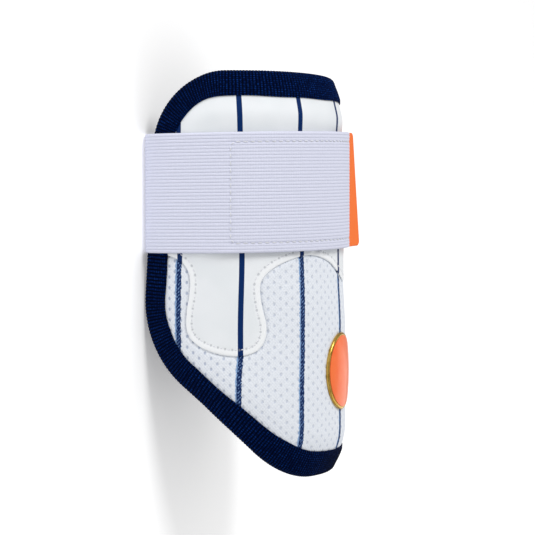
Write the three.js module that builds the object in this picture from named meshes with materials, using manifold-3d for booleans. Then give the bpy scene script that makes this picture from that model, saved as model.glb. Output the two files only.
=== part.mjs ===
// Batter's elbow guard: a padded shell moulded into a U that clips over the elbow, bound with tape
// all round its edge, with a leather panel above, an air-mesh panel below and one elastic strap.
//
// Millimetres. +Z up, +X from the top edge towards the lower tip, -Y the side with the free strap run.
// The guard lies as it rests by itself, opening down on the strap's back span and the two rims.
//
// Every piece is drawn on the guard's flat pattern and bent onto one form. On the pattern,
// s runs round the U from the nose line, h runs up from the lower tip, and t stands out from
// the leather's face along the form's normal.

import * as THREE from 'three';
import { mergeVertices } from 'three/addons/utils/BufferGeometryUtils.js';
import Module from 'manifold-3d';

const wasm = await Module();
wasm.setup();

// The form
const LENGTH = 217.9;
const NOSE_RADIUS = 58.4;
const NOSE_BOW = { middle: 52, top: 2.2, tip: 2.4, tipReach: 24 };
const CROWN_DROP = 6;
const CROWN_WIDTH = 24;

// Half of the pattern's outline: the rounded corners between the tip, the rim and the top edge
const CORNERS = [
  { name: 'tip', s: 42, h: 0, radius: 74 },
  { name: 'rim', s: 127.4, h: 68.9, radius: 58 },
  { name: 'top', s: 117.4, h: LENGTH, radius: 44 },
];
const CORNER_STEPS = 5;
const EDGE_STEP = 14;
const FLAT_STEP = 9;
const QUILT_COLUMNS = 28;

// Layers, counted inwards from the leather's face
const LEATHER_THICK = 1.6;
const MESH_THICK = 1.4;
const PAD_DEPTH = 10;
const LAYER_GAP = 0.3;
const BINDING_GAP = 0.5;

// Binding tape folded over the edge
const BINDING_WIDTH = 14.2;
const BINDING_THICK = 1.2;
const BINDING_BEND = 3.5;
const BEND_STEPS = 6;
const CHANNEL_DEPTH = 1.9;
const PANEL_INSET = 2.4;

// Leather's scalloped lower edge: the straight seam line, and the lobes that hang below it
const SEAM_HEIGHT = 120;
const SEAM_GAP = 0.3;
const SIDE_TAB = [
  { below: 53, nose: 67, rim: 76 },
  { below: 52, nose: 63, rim: 81.5 },
  { below: 50, nose: 59.8, rim: 88 },
  { below: 45.6, nose: 56.4, rim: 95.4 },
  { below: 39.7, nose: 55.1, rim: 98.9 },
  { below: 29.2, nose: 57.2, rim: 98.7 },
  { below: 21.7, nose: 58.6, rim: 97.3 },
  { below: 15.8, nose: 58.8, rim: 96.3 },
  { below: 11.8, nose: 56.8, rim: 96.7 },
  { below: 8.5, nose: 53.4, rim: 97.6 },
  { below: 4.6, nose: 46.8, rim: 100.5 },
  { below: 1.6, nose: 38, rim: 105.5 },
  { below: 0, nose: 29, rim: 111 },
];
const NOSE_TONGUE = [
  { below: 14.6, nose: -16, rim: -12 },
  { below: 13.6, nose: -20, rim: -9 },
  { below: 11, nose: -25, rim: -3.4 },
  { below: 7.8, nose: -29, rim: 3.6 },
  { below: 4, nose: -34, rim: 11 },
  { below: 1.4, nose: -39, rim: 19.8 },
  { below: 0, nose: -45, rim: 29 },
];

// Block that cuts the panels along the seam: it reaches past the pattern and right through the pad,
// and its lobes are a little shallower and run a little way into its straight part
const ZONE = { reach: 140, above: 70, lobeInset: 1, lobeOverlap: 2, lobeSteps: 8 };

// Elastic strap with its hook patch and pull tab
const STRAP_WIDTH = 63.5;
const STRAP_THICK = 1.2;
const STRAP_LOW = 123.6;
const STRAP_TILT = 0.045;
const STRAP_END = -14;
const STRAP_SEWN_END = -84;
const STRAP_OVER_PATCH = 2;
const STRAP_ON_WING = 1.1;
const STRAP_STEP_DOWN = { from: 76, to: 90 };
const STRAP_CORNER_RADIUS = 8;
const STRAP_STATION = 8;
const PATCH = { from: -5, to: 75, margin: 4, low: 0.4, high: 1.7 };
const TAB = { root: -5.6, length: 20, low: 0.4, thick: 1.4, openTop: 7, openLow: 15.5 };

// Oval badge on the nose line
const BADGE = {
  h: 56.8, halfWidth: 17, halfHeight: 21, sides: 28, base: 0.2,
  rim: 0.13, rimHigh: 2.4, rimShoulder: 0.5,
  enamelGap: 0.02, enamelHigh: 2, enamelRise: 0.4,
};

const v2 = (x, y) => new THREE.Vector2(x, y);
const smooth = (x, low, high) => THREE.MathUtils.smoothstep(x, low, high);

// Rounded corner: points on its arc from the leg towards one neighbour to the leg towards the other,
// each with the outward normal
function roundedCorner(before, corner, after, radius, steps) {
  const legIn = before.clone().sub(corner).normalize();
  const legOut = after.clone().sub(corner).normalize();
  const half = Math.acos(legIn.dot(legOut)) / 2;
  const bisector = legIn.clone().add(legOut).normalize();
  const centre = corner.clone().addScaledVector(bisector, radius / Math.sin(half));
  const sweep = Math.sign(legOut.cross(legIn)) * (Math.PI - 2 * half);
  const start = corner.clone().addScaledVector(legIn, radius / Math.tan(half)).sub(centre);
  return Array.from({ length: steps + 1 }, (_, i) => {
    const arm = start.clone().rotateAround(v2(0, 0), (sweep * i) / steps);
    return { point: centre.clone().add(arm), normal: arm.clone().normalize() };
  });
}

// Straight stretch between two outline points, cut into steps, without its two ends
function straightStretch(from, to, step) {
  const count = Math.ceil(from.point.distanceTo(to.point) / step);
  return Array.from({ length: count - 1 }, (_, i) => ({
    point: from.point.clone().lerp(to.point, (i + 1) / count),
    normal: to.normal.clone(),
  }));
}

// Near half of the outline, from the end of the flat tip to the end of the flat top
function halfOutline() {
  const corners = CORNERS.map(({ s, h }) => v2(s, h));
  const chain = [v2(0, 0), ...corners, v2(0, LENGTH)];
  const outline = [];
  CORNERS.forEach(({ radius }, i) => {
    const arc = roundedCorner(chain[i], chain[i + 1], chain[i + 2], radius, CORNER_STEPS);
    if (i > 0) outline.push(...straightStretch(outline.at(-1), arc[0], EDGE_STEP));
    outline.push(...arc);
  });
  return outline;
}

const mirrored = ({ point, normal }) => ({ point: v2(-point.x, point.y), normal: v2(-normal.x, normal.y) });

const HALF = halfOutline();
const FAR_HALF = HALF.map(mirrored).reverse();
const OUTLINE = [
  ...HALF,
  ...straightStretch(HALF.at(-1), FAR_HALF[0], FLAT_STEP),
  ...FAR_HALF,
  ...straightStretch(FAR_HALF.at(-1), HALF[0], FLAT_STEP),
];

// Distance in from the outline, on the pattern
function edgeDistance(s, h) {
  const here = v2(s, h);
  let nearest = Infinity;
  OUTLINE.forEach(({ point }, i) => {
    const leg = OUTLINE[(i + 1) % OUTLINE.length].point.clone().sub(point);
    const along = THREE.MathUtils.clamp(here.clone().sub(point).dot(leg) / leg.lengthSq(), 0, 1);
    nearest = Math.min(nearest, point.clone().addScaledVector(leg, along).distanceTo(here));
  });
  return nearest;
}

// How far the padded face falls away towards its bound edge
const crownDrop = (inset) => CROWN_DROP * Math.max(0, 1 - inset / CROWN_WIDTH) ** 2;

// Plan of the U: a half circle round the nose, then straight wings
const ARC_HALF = (NOSE_RADIUS * Math.PI) / 2;

function planPoint(s, t) {
  const turn = Math.min(Math.abs(s), ARC_HALF) / NOSE_RADIUS;
  const run = Math.max(Math.abs(s) - ARC_HALF, 0);
  const reach = NOSE_RADIUS + t;
  return v2(-Math.sign(s) * reach * Math.sin(turn), reach * Math.cos(turn) - run);
}

// How far the nose line falls back towards the top edge, and where the tape draws it in at the tip
const noseBow = (h) => (
  NOSE_BOW.top * ((h - NOSE_BOW.middle) / (LENGTH - NOSE_BOW.middle)) ** 2
  + NOSE_BOW.tip * Math.max(0, 1 - h / NOSE_BOW.tipReach) ** 2
);

// The rims' lowest line, on which the guard lies
const BEND_TOP = BINDING_GAP + BINDING_THICK - crownDrop(BINDING_BEND);
const BEND_LOW = -PAD_DEPTH - BINDING_GAP - BINDING_THICK;
const BEND_MIDDLE = (BEND_TOP + BEND_LOW) / 2;
const FLOOR = Math.min(...HALF.map(({ point }) => planPoint(point.x, BEND_MIDDLE).y - noseBow(point.y)));

// Place in the guard's own frame of a point in plan at a height
const placed = (plan, h) => new THREE.Vector3(LENGTH / 2 - h, plan.x, plan.y - FLOOR);

function formPoint(s, h, t) {
  const point = placed(planPoint(s, t), h);
  point.z -= noseBow(h);
  return point;
}

// Closed sheet between an inner and an outer face, both given on one grid of columns and rows,
// so that both faces split their cells the same way
function sheet(columns, rows, pointAt) {
  const positions = [];
  const indices = [];
  const index = (column, row, face) => (face * rows + row) * columns + column;
  [0, 1].forEach((face) => {
    for (let row = 0; row < rows; row += 1) {
      for (let column = 0; column < columns; column += 1) {
        positions.push(...pointAt(column, row, face).toArray());
      }
    }
  });
  for (let row = 0; row + 1 < rows; row += 1) {
    for (let column = 0; column + 1 < columns; column += 1) {
      const [a, b, c, d] = [[0, 0], [0, 1], [1, 1], [1, 0]].map(([x, y]) => index(column + x, row + y, 0));
      const outer = columns * rows;
      indices.push(a + outer, b + outer, c + outer, a + outer, c + outer, d + outer);
      indices.push(a, c, b, a, d, c);
    }
  }
  const border = [];
  for (let column = 0; column < columns; column += 1) border.push([column, 0]);
  for (let row = 1; row < rows; row += 1) border.push([columns - 1, row]);
  for (let column = columns - 2; column >= 0; column -= 1) border.push([column, rows - 1]);
  for (let row = rows - 2; row > 0; row -= 1) border.push([0, row]);
  border.forEach(([column, row], i) => {
    const [nextColumn, nextRow] = border[(i + 1) % border.length];
    const [a, b] = [index(column, row, 0), index(nextColumn, nextRow, 0)];
    const [c, d] = [index(nextColumn, nextRow, 1), index(column, row, 1)];
    indices.push(a, c, b, a, d, c);
  });
  return indexed(positions, indices);
}

function indexed(positions, indices) {
  const geometry = new THREE.BufferGeometry();
  geometry.setAttribute('position', new THREE.Float32BufferAttribute(positions, 3));
  geometry.setIndex(indices);
  return geometry;
}

// Slab over a table of rows: each row runs from its nose side to its rim side at its own height
function slab(rows, steps, low, high) {
  return sheet(steps + 1, rows.length, (column, row, face) => {
    const { h, nose, rim } = rows[row];
    const s = THREE.MathUtils.lerp(nose, rim, column / steps);
    return formPoint(s, h, face ? high(s, h) : low(s, h));
  });
}

// Layer of the pad that follows the whole outline, between two depths below the leather's face
function layer(low, high) {
  const rows = HALF.map(({ point, normal }) => {
    const inner = point.clone().addScaledVector(normal, -PANEL_INSET);
    return { h: inner.y, rim: inner.x, nose: -inner.x };
  });
  return slab(rows, QUILT_COLUMNS, low, high);
}

const crowned = (depth) => (s, h) => -depth - crownDrop(edgeDistance(s, h));
const flat = (height) => () => height;

const solidOf = (geometry) => new wasm.Manifold(new wasm.Mesh({
  numProp: 3,
  vertProperties: new Float32Array(geometry.attributes.position.array),
  triVerts: new Uint32Array(geometry.index.array),
}));

function geometryOf(solid) {
  const { vertProperties, triVerts } = solid.getMesh();
  return indexed(Array.from(vertProperties), Array.from(triVerts));
}

// Everything above the scalloped seam, as one thick block to cut the panels with
function leatherZone(grow) {
  const low = -CROWN_DROP - PAD_DEPTH;
  const high = PAD_DEPTH;
  const ends = [SEAM_HEIGHT - grow, LENGTH + ZONE.above];
  const straight = ends.map((h) => ({ h, rim: ZONE.reach, nose: -ZONE.reach }));
  const lobe = (rows) => {
    const widened = rows.map(({ below, nose, rim }) => (
      { h: SEAM_HEIGHT - below, nose: nose - grow, rim: rim + grow }
    ));
    widened[0].h -= grow;
    widened.push({ ...widened.at(-1), h: SEAM_HEIGHT + ZONE.lobeOverlap });
    return slab(widened, ZONE.lobeSteps, flat(low + ZONE.lobeInset), flat(high - ZONE.lobeInset));
  };
  const farTab = SIDE_TAB.map(({ below, nose, rim }) => ({ below, nose: -rim, rim: -nose }));
  return [SIDE_TAB, farTab, NOSE_TONGUE].reduce(
    (zone, rows) => zone.add(solidOf(lobe(rows))),
    solidOf(slab(straight, 2 * QUILT_COLUMNS, flat(low), flat(high))),
  );
}

function foamShell() {
  return layer(flat(-PAD_DEPTH), crowned(LEATHER_THICK + LAYER_GAP));
}

function upperPanel() {
  const skin = solidOf(layer(crowned(LEATHER_THICK), crowned(0)));
  return geometryOf(skin.intersect(leatherZone(0)));
}

function meshPanel() {
  const skin = solidOf(layer(crowned(LEATHER_THICK), crowned(LEATHER_THICK - MESH_THICK)));
  return geometryOf(skin.subtract(leatherZone(SEAM_GAP)));
}

// Section of the folded tape: distance in from the outline, and height over the leather's face
function bindingSection() {
  const leafTop = (inset) => BINDING_GAP + BINDING_THICK - crownDrop(inset);
  const leafMiddle = (BINDING_WIDTH + BINDING_BEND) / 2;
  const bend = Array.from({ length: BEND_STEPS + 1 }, (_, i) => {
    const angle = (Math.PI * i) / BEND_STEPS;
    return v2(BINDING_BEND * (1 - Math.sin(angle)), BEND_MIDDLE + (BEND_TOP - BEND_MIDDLE) * Math.cos(angle));
  });
  const under = (inset) => v2(inset, leafTop(inset) - BINDING_THICK);
  const liningFace = BEND_LOW + BINDING_THICK;
  return [
    v2(BINDING_WIDTH, leafTop(BINDING_WIDTH)),
    v2(leafMiddle, leafTop(leafMiddle)),
    ...bend,
    v2(BINDING_WIDTH, BEND_LOW),
    v2(BINDING_WIDTH, liningFace),
    v2(CHANNEL_DEPTH, liningFace),
    v2(CHANNEL_DEPTH, under(BINDING_BEND).y - BINDING_GAP),
    under(BINDING_BEND),
    under(leafMiddle),
    under(BINDING_WIDTH),
  ];
}

function edgeBinding() {
  const section = bindingSection();
  const positions = [];
  const indices = [];
  OUTLINE.forEach(({ point, normal }, i) => {
    const next = (i + 1) % OUTLINE.length;
    section.forEach((profile, j) => {
      const at = point.clone().addScaledVector(normal, -profile.x);
      positions.push(...formPoint(at.x, at.y, profile.y).toArray());
      const beside = (j + 1) % section.length;
      const corners = [[i, j], [next, j], [next, beside], [i, beside]];
      const [a, b, c, d] = corners.map(([station, place]) => station * section.length + place);
      indices.push(a, b, c, a, c, d);
    });
  });
  return indexed(positions, indices);
}

// Middle line of the strap in plan: from its free end over the nose and the near wing, across the open
// back and up the far wing to its sewn end
function strapRoute() {
  const half = STRAP_THICK / 2;
  const over = (s) => {
    const drop = smooth(s, STRAP_STEP_DOWN.from, STRAP_STEP_DOWN.to);
    return half + THREE.MathUtils.lerp(STRAP_OVER_PATCH, STRAP_ON_WING, s > 0 ? drop : 0);
  };
  const stations = (from, to) => {
    const count = Math.ceil(Math.abs(to - from) / STRAP_STATION);
    return Array.from({ length: count + 1 }, (_, i) => THREE.MathUtils.lerp(from, to, i / count));
  };
  const near = stations(STRAP_END, ARC_HALF).map((s) => planPoint(s, over(s)));
  const far = stations(-ARC_HALF, STRAP_SEWN_END).map((s) => planPoint(s, half + STRAP_ON_WING));
  const back = FLOOR + half;
  const wingStart = near.at(-1);
  const nearCorner = v2(wingStart.x, back);
  const farCorner = v2(-nearCorner.x, back);
  const turn = (before, corner, after) => (
    roundedCorner(before, corner, after, STRAP_CORNER_RADIUS, CORNER_STEPS).map(({ point }) => point)
  );
  return [
    ...near,
    ...turn(wingStart, nearCorner, farCorner),
    ...turn(nearCorner, farCorner, far[0]),
    ...far,
  ];
}

// Band along a route in plan: each route point is a station, offset along the route's normal
function band(route, thick, pointAt) {
  return sheet(route.length, 2, (station, edge, face) => {
    const ahead = route[Math.min(station + 1, route.length - 1)];
    const along = ahead.clone().sub(route[Math.max(station - 1, 0)]).normalize();
    const outward = v2(along.y, -along.x);
    return pointAt(route[station].clone().addScaledVector(outward, thick * (face - 0.5)), edge, station);
  });
}

const strapPlaced = (plan, share) => placed(plan, STRAP_LOW + share * STRAP_WIDTH + STRAP_TILT * plan.x);

function strap() {
  return band(strapRoute(), STRAP_THICK, strapPlaced);
}

function hookPatch() {
  const count = Math.ceil((PATCH.to - PATCH.from) / STRAP_STATION);
  const middle = (PATCH.low + PATCH.high) / 2;
  const route = Array.from({ length: count + 1 }, (_, i) => (
    planPoint(THREE.MathUtils.lerp(PATCH.from, PATCH.to, i / count), middle)
  ));
  const edges = [PATCH.margin / STRAP_WIDTH, 1 - PATCH.margin / STRAP_WIDTH];
  return band(route, PATCH.high - PATCH.low, (plan, edge) => strapPlaced(plan, edges[edge]));
}

// Pull tab: sewn under the strap's end, then free, straight on from the nose and opening at its lower corner
function pullTab() {
  const middle = TAB.low + TAB.thick / 2;
  const root = [TAB.root, (TAB.root + STRAP_END) / 2, STRAP_END].map((s) => planPoint(s, middle));
  const ahead = root[2].clone().sub(root[1]).normalize();
  const outward = planPoint(STRAP_END, 1).sub(planPoint(STRAP_END, 0));
  const freeLength = [TAB.length, TAB.length / 2];
  const free = freeLength.map((length) => root[2].clone().addScaledVector(ahead, length));
  const route = [...free, ...root.reverse()];
  return band(route, TAB.thick, (plan, edge, station) => {
    const open = THREE.MathUtils.degToRad(edge ? TAB.openTop : TAB.openLow);
    const shift = Math.tan(open) * (freeLength[station] ?? 0);
    return strapPlaced(plan.clone().addScaledVector(outward, shift), edge);
  });
}

// Badge pieces are turned as round discs of radius 1, then stretched to the oval and bent onto the nose
function onNose(profile) {
  const turned = new THREE.LatheGeometry(profile.map(([radius, t]) => v2(radius, t)), BADGE.sides);
  turned.deleteAttribute('normal');
  turned.deleteAttribute('uv');
  const disc = mergeVertices(turned);
  const position = disc.attributes.position;
  for (let i = 0; i < position.count; i += 1) {
    const [s, h] = [position.getX(i) * BADGE.halfWidth, BADGE.h + position.getZ(i) * BADGE.halfHeight];
    position.setXYZ(i, ...formPoint(s, h, position.getY(i)).toArray());
  }
  return disc;
}

function badgeRim() {
  const inner = 1 - BADGE.rim;
  const edge = (1 + inner) / 2;
  const shoulder = BADGE.rimHigh - BADGE.rimShoulder;
  return onNose([
    [inner, BADGE.base],
    [1, BADGE.base],
    [1, shoulder],
    [edge, BADGE.rimHigh],
    [inner, shoulder],
    [inner, BADGE.base],
  ]);
}

function badgeEnamel() {
  const edge = 1 - BADGE.rim - BADGE.enamelGap;
  const shoulder = BADGE.enamelHigh - BADGE.enamelRise;
  return onNose([
    [0, BADGE.base],
    [edge / 2, BADGE.base],
    [edge, BADGE.base],
    [edge, shoulder],
    [edge / 2, BADGE.enamelHigh - BADGE.enamelRise / 4],
    [0, BADGE.enamelHigh],
  ]);
}

const PIECES = [
  { name: 'foam_shell', make: foamShell, color: '#1b2238', roughness: 0.9, metalness: 0 },
  { name: 'upper_panel', make: upperPanel, color: '#e8ebee', roughness: 0.5, metalness: 0 },
  { name: 'mesh_panel', make: meshPanel, color: '#dfe3ec', roughness: 0.85, metalness: 0 },
  { name: 'edge_binding', make: edgeBinding, color: '#0a1638', roughness: 0.8, metalness: 0 },
  { name: 'strap', make: strap, color: '#dedeec', roughness: 0.85, metalness: 0 },
  { name: 'hook_patch', make: hookPatch, color: '#e6e6ea', roughness: 0.9, metalness: 0 },
  { name: 'pull_tab', make: pullTab, color: '#ff7a2e', roughness: 0.6, metalness: 0 },
  { name: 'badge_rim', make: badgeRim, color: '#c2a04a', roughness: 0.3, metalness: 1 },
  { name: 'badge_enamel', make: badgeEnamel, color: '#ff6a2a', roughness: 0.2, metalness: 0 },
];

const elbowGuard = new THREE.Group();
PIECES.forEach(({ name, make, ...look }) => {
  const mesh = new THREE.Mesh(make(), new THREE.MeshStandardMaterial(look));
  mesh.name = name;
  elbowGuard.add(mesh);
});

export default elbowGuard;
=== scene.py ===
"""Batter's elbow guard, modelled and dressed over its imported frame.

The guard lies opening down on its strap's back span. Its soft pieces are drawn on one flat pattern and bent
onto the frame's U: s runs round the U from the nose line, positive on the near side, h runs up from the
lower tip, and t stands out from the leather's face. Sizes are millimetres.
"""

import logging
import math
from collections.abc import Callable, Iterator, Sequence
from contextlib import contextmanager
from dataclasses import dataclass, field
from enum import Enum
from functools import cached_property
from typing import NamedTuple

import bpy
import numpy as np
from mathutils import Matrix, Vector

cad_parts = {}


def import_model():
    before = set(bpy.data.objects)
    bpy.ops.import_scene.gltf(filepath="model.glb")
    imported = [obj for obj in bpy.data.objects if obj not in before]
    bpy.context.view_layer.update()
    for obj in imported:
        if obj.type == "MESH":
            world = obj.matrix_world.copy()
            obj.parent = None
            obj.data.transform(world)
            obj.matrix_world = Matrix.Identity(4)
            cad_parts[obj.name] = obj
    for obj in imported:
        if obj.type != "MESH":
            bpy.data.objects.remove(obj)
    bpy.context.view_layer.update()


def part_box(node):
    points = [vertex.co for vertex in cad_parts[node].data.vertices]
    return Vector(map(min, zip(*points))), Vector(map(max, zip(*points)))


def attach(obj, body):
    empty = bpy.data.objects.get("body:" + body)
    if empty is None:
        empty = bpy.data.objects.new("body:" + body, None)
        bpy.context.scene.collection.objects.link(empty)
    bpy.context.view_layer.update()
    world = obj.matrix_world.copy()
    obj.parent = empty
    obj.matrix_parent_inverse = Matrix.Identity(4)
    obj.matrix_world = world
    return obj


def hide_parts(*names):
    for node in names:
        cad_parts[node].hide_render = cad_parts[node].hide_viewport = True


LOG = logging.getLogger("elbow_guard")
MM = 0.001
BODY = "root"

Array = np.ndarray
Colour = tuple[float, float, float, float]

WHITE: Colour = (1.0, 1.0, 1.0, 1.0)
# Values of a noise between which its clouds lie
CLOUDS = (0.3, 0.75)


class Slot(Enum):
    """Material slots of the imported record."""

    LINING = "lining"
    LEATHER = "leather"
    AIR_MESH = "air_mesh"
    BINDING = "binding"
    ELASTIC = "elastic"
    HOOK_TAPE = "hook_tape"
    PULL_TAB = "pull_tab"
    GOLD = "gold"
    ENAMEL = "enamel"


class Side(Enum):
    """Sides of the guard: the near one carries the strap's free run."""

    NEAR = 1
    FAR = -1


class Corner(NamedTuple):
    """A rounded corner of an outline.

    Attributes:
        s: its place round the U.
        h: its height up from the lower tip.
        radius: the radius that rounds it.
    """

    s: float
    h: float
    radius: float


def srgb(red: int, green: int, blue: int) -> Colour:
    """Turn a screen colour into linear light.

    Args:
        red: red, from 0 to 255.
        green: green, likewise.
        blue: blue, likewise.

    Returns:
        The colour's red, green and blue, and a full alpha.
    """
    shares = np.array([red, green, blue]) / 255
    linear = np.where(shares <= 0.04045, shares / 12.92, ((shares + 0.055) / 1.055) ** 2.4)
    return (*linear.tolist(), 1.0)


def smooth(value: Array, low: float, high: float) -> Array:
    """Return 0 below low, 1 above high and a smooth rise between."""
    share = np.clip((value - low) / (high - low), 0, 1)
    return share * share * (3 - 2 * share)


def unit(vectors: Array) -> Array:
    """Return vectors with their lengths made 1."""
    return vectors / np.linalg.norm(vectors, axis=-1, keepdims=True)


def lengths_along(points: Array) -> Array:
    """Return the length along a line at each of its points."""
    legs = np.linalg.norm(np.diff(points, axis=0), axis=1)
    return np.concatenate([[0], np.cumsum(legs)])


def sampled(places: Array, along: Array, rows: Array) -> Array:
    """Read rows of numbers that are kept along a line.

    Args:
        places: lengths along the line at which they are wanted.
        along: lengths along the line at which they are kept.
        rows: the kept rows.

    Returns:
        A row for each place, worked out between the kept ones.
    """
    return np.column_stack([np.interp(places, along, column) for column in rows.T])


def resampled(points: Array, step: float) -> Array:
    """Space a line's points evenly.

    Args:
        points: the line's points, one row each.
        step: the wanted distance between points.

    Returns:
        Points of the same line at even distances, with both ends kept.
    """
    along = lengths_along(points)
    places = np.linspace(0, along[-1], max(2, round(along[-1] / step) + 1))
    return sampled(places, along, points)


def rounded_corner(before: Array, corner: Array, after: Array, radius: float, steps: int = 24) -> Array:
    """Round the corner of two legs with an arc.

    Args:
        before: a point on the first leg.
        corner: the corner itself.
        after: a point on the second leg.
        radius: the arc's radius.
        steps: the number of steps along the arc.

    Returns:
        The arc's points, from the first leg to the second.
    """
    leg_in, leg_out = unit(before - corner), unit(after - corner)
    half = math.acos(float(leg_in @ leg_out)) / 2
    centre = corner + unit(leg_in + leg_out) * radius / math.sin(half)
    start, end = (corner + leg * radius / math.tan(half) - centre for leg in (leg_in, leg_out))
    sweep = math.atan2(start[0] * end[1] - start[1] * end[0], float(start @ end))
    angles = np.linspace(0, sweep, steps + 1)
    turned = np.column_stack([
        start[0] * np.cos(angles) - start[1] * np.sin(angles),
        start[0] * np.sin(angles) + start[1] * np.cos(angles),
    ])
    return centre + turned


def curve_through(points: Array, steps: int = 12) -> Array:
    """Draw a smooth curve through a few points.

    Args:
        points: the points, one row each.
        steps: the number of steps between two points.

    Returns:
        Points along a Catmull-Rom curve.
    """
    padded = np.vstack([2 * points[0] - points[1], points, 2 * points[-1] - points[-2]])
    share = np.linspace(0, 1, steps, endpoint=False)[:, None]
    spans = []
    for p0, p1, p2, p3 in zip(padded, padded[1:], padded[2:], padded[3:]):
        bend = 2 * p0 - 5 * p1 + 4 * p2 - p3
        twist = 3 * p1 - p0 - 3 * p2 + p3
        spans.append(p1 + 0.5 * share * ((p2 - p0) + share * (bend + share * twist)))
    return np.vstack([*spans, points[-1:]])


@dataclass
class Border:
    """Edge line of a cut on the flat pattern, with the kept side on the left of its run.

    Attributes:
        points: the line's points, as rows of s and h.
        closed: whether the line's end meets its start.
        starts: where each leg of the line starts.
        legs: each leg, from its start to its end.
        along: length along the line at the start of each leg and at the end of the last.
        normals: the line's inward normal at each point.
    """

    points: Array
    closed: bool
    starts: Array = field(init=False)
    legs: Array = field(init=False)
    along: Array = field(init=False)
    normals: Array = field(init=False)

    def __post_init__(self) -> None:
        """Work out the legs, the lengths along the line and the inward normals."""
        line = self.looped(self.points)
        self.starts = line[:-1]
        self.legs = np.diff(line, axis=0)
        self.along = lengths_along(line)
        if self.closed:
            run = np.roll(self.points, -1, axis=0) - np.roll(self.points, 1, axis=0)
        else:
            run = np.gradient(self.points, axis=0)
        run = unit(run)
        self.normals = np.column_stack([-run[:, 1], run[:, 0]])

    def looped(self, rows: Array) -> Array:
        """Return a row for each point, with the first one again at the end of a closed line."""
        return np.vstack([rows, rows[:1]]) if self.closed else rows

    def at(self, along: Array) -> tuple[Array, Array]:
        """Return the line's places and inward normals at lengths along it."""
        kept = (self.looped(self.points), self.looped(self.normals))
        return tuple(sampled(along, self.along, rows) for rows in kept)

    def measure(self, places: Array, chunk: int = 2000) -> tuple[Array, Array, Array]:
        """Measure places on the pattern against the line.

        Args:
            places: rows of s and h.
            chunk: the number of places that are measured at once.

        Returns:
            Each place's distance in from the line, the line's inward normal there, and the length along it.
        """
        parts = [self._nearest(places[i:i + chunk]) for i in range(0, len(places), chunk)]
        return tuple(np.concatenate(column) for column in zip(*parts))

    def _nearest(self, places: Array) -> tuple[Array, Array, Array]:
        """Measure a few places.

        Args:
            places: rows of s and h.

        Returns:
            What measure returns.
        """
        spread = (self.points ** 2).sum(1) - 2 * places @ self.points.T
        nearest = spread.argmin(1)
        last = len(self.starts)
        before = (nearest - 1) % last if self.closed else np.maximum(nearest - 1, 0)
        after = nearest % last if self.closed else np.minimum(nearest, last - 1)
        pair = np.stack([before, after])
        gap = places - self.starts[pair]
        share = np.clip((gap * self.legs[pair]).sum(2) / (self.legs[pair] ** 2).sum(2), 0, 1)
        off = gap - share[..., None] * self.legs[pair]
        rank = np.arange(len(places))
        closer = (off ** 2).sum(2).argmin(0)
        leg, share, off = pair[closer, rank], share[closer, rank], off[closer, rank]
        normal = self.normals[leg] * (1 - share[:, None])
        normal = unit(normal + self.normals[(leg + 1) % len(self.points)] * share[:, None])
        distance = np.sign((off * normal).sum(1)) * np.linalg.norm(off, axis=1)
        along = self.along[leg] + share * (self.along[leg + 1] - self.along[leg])
        return distance, normal, along


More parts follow.
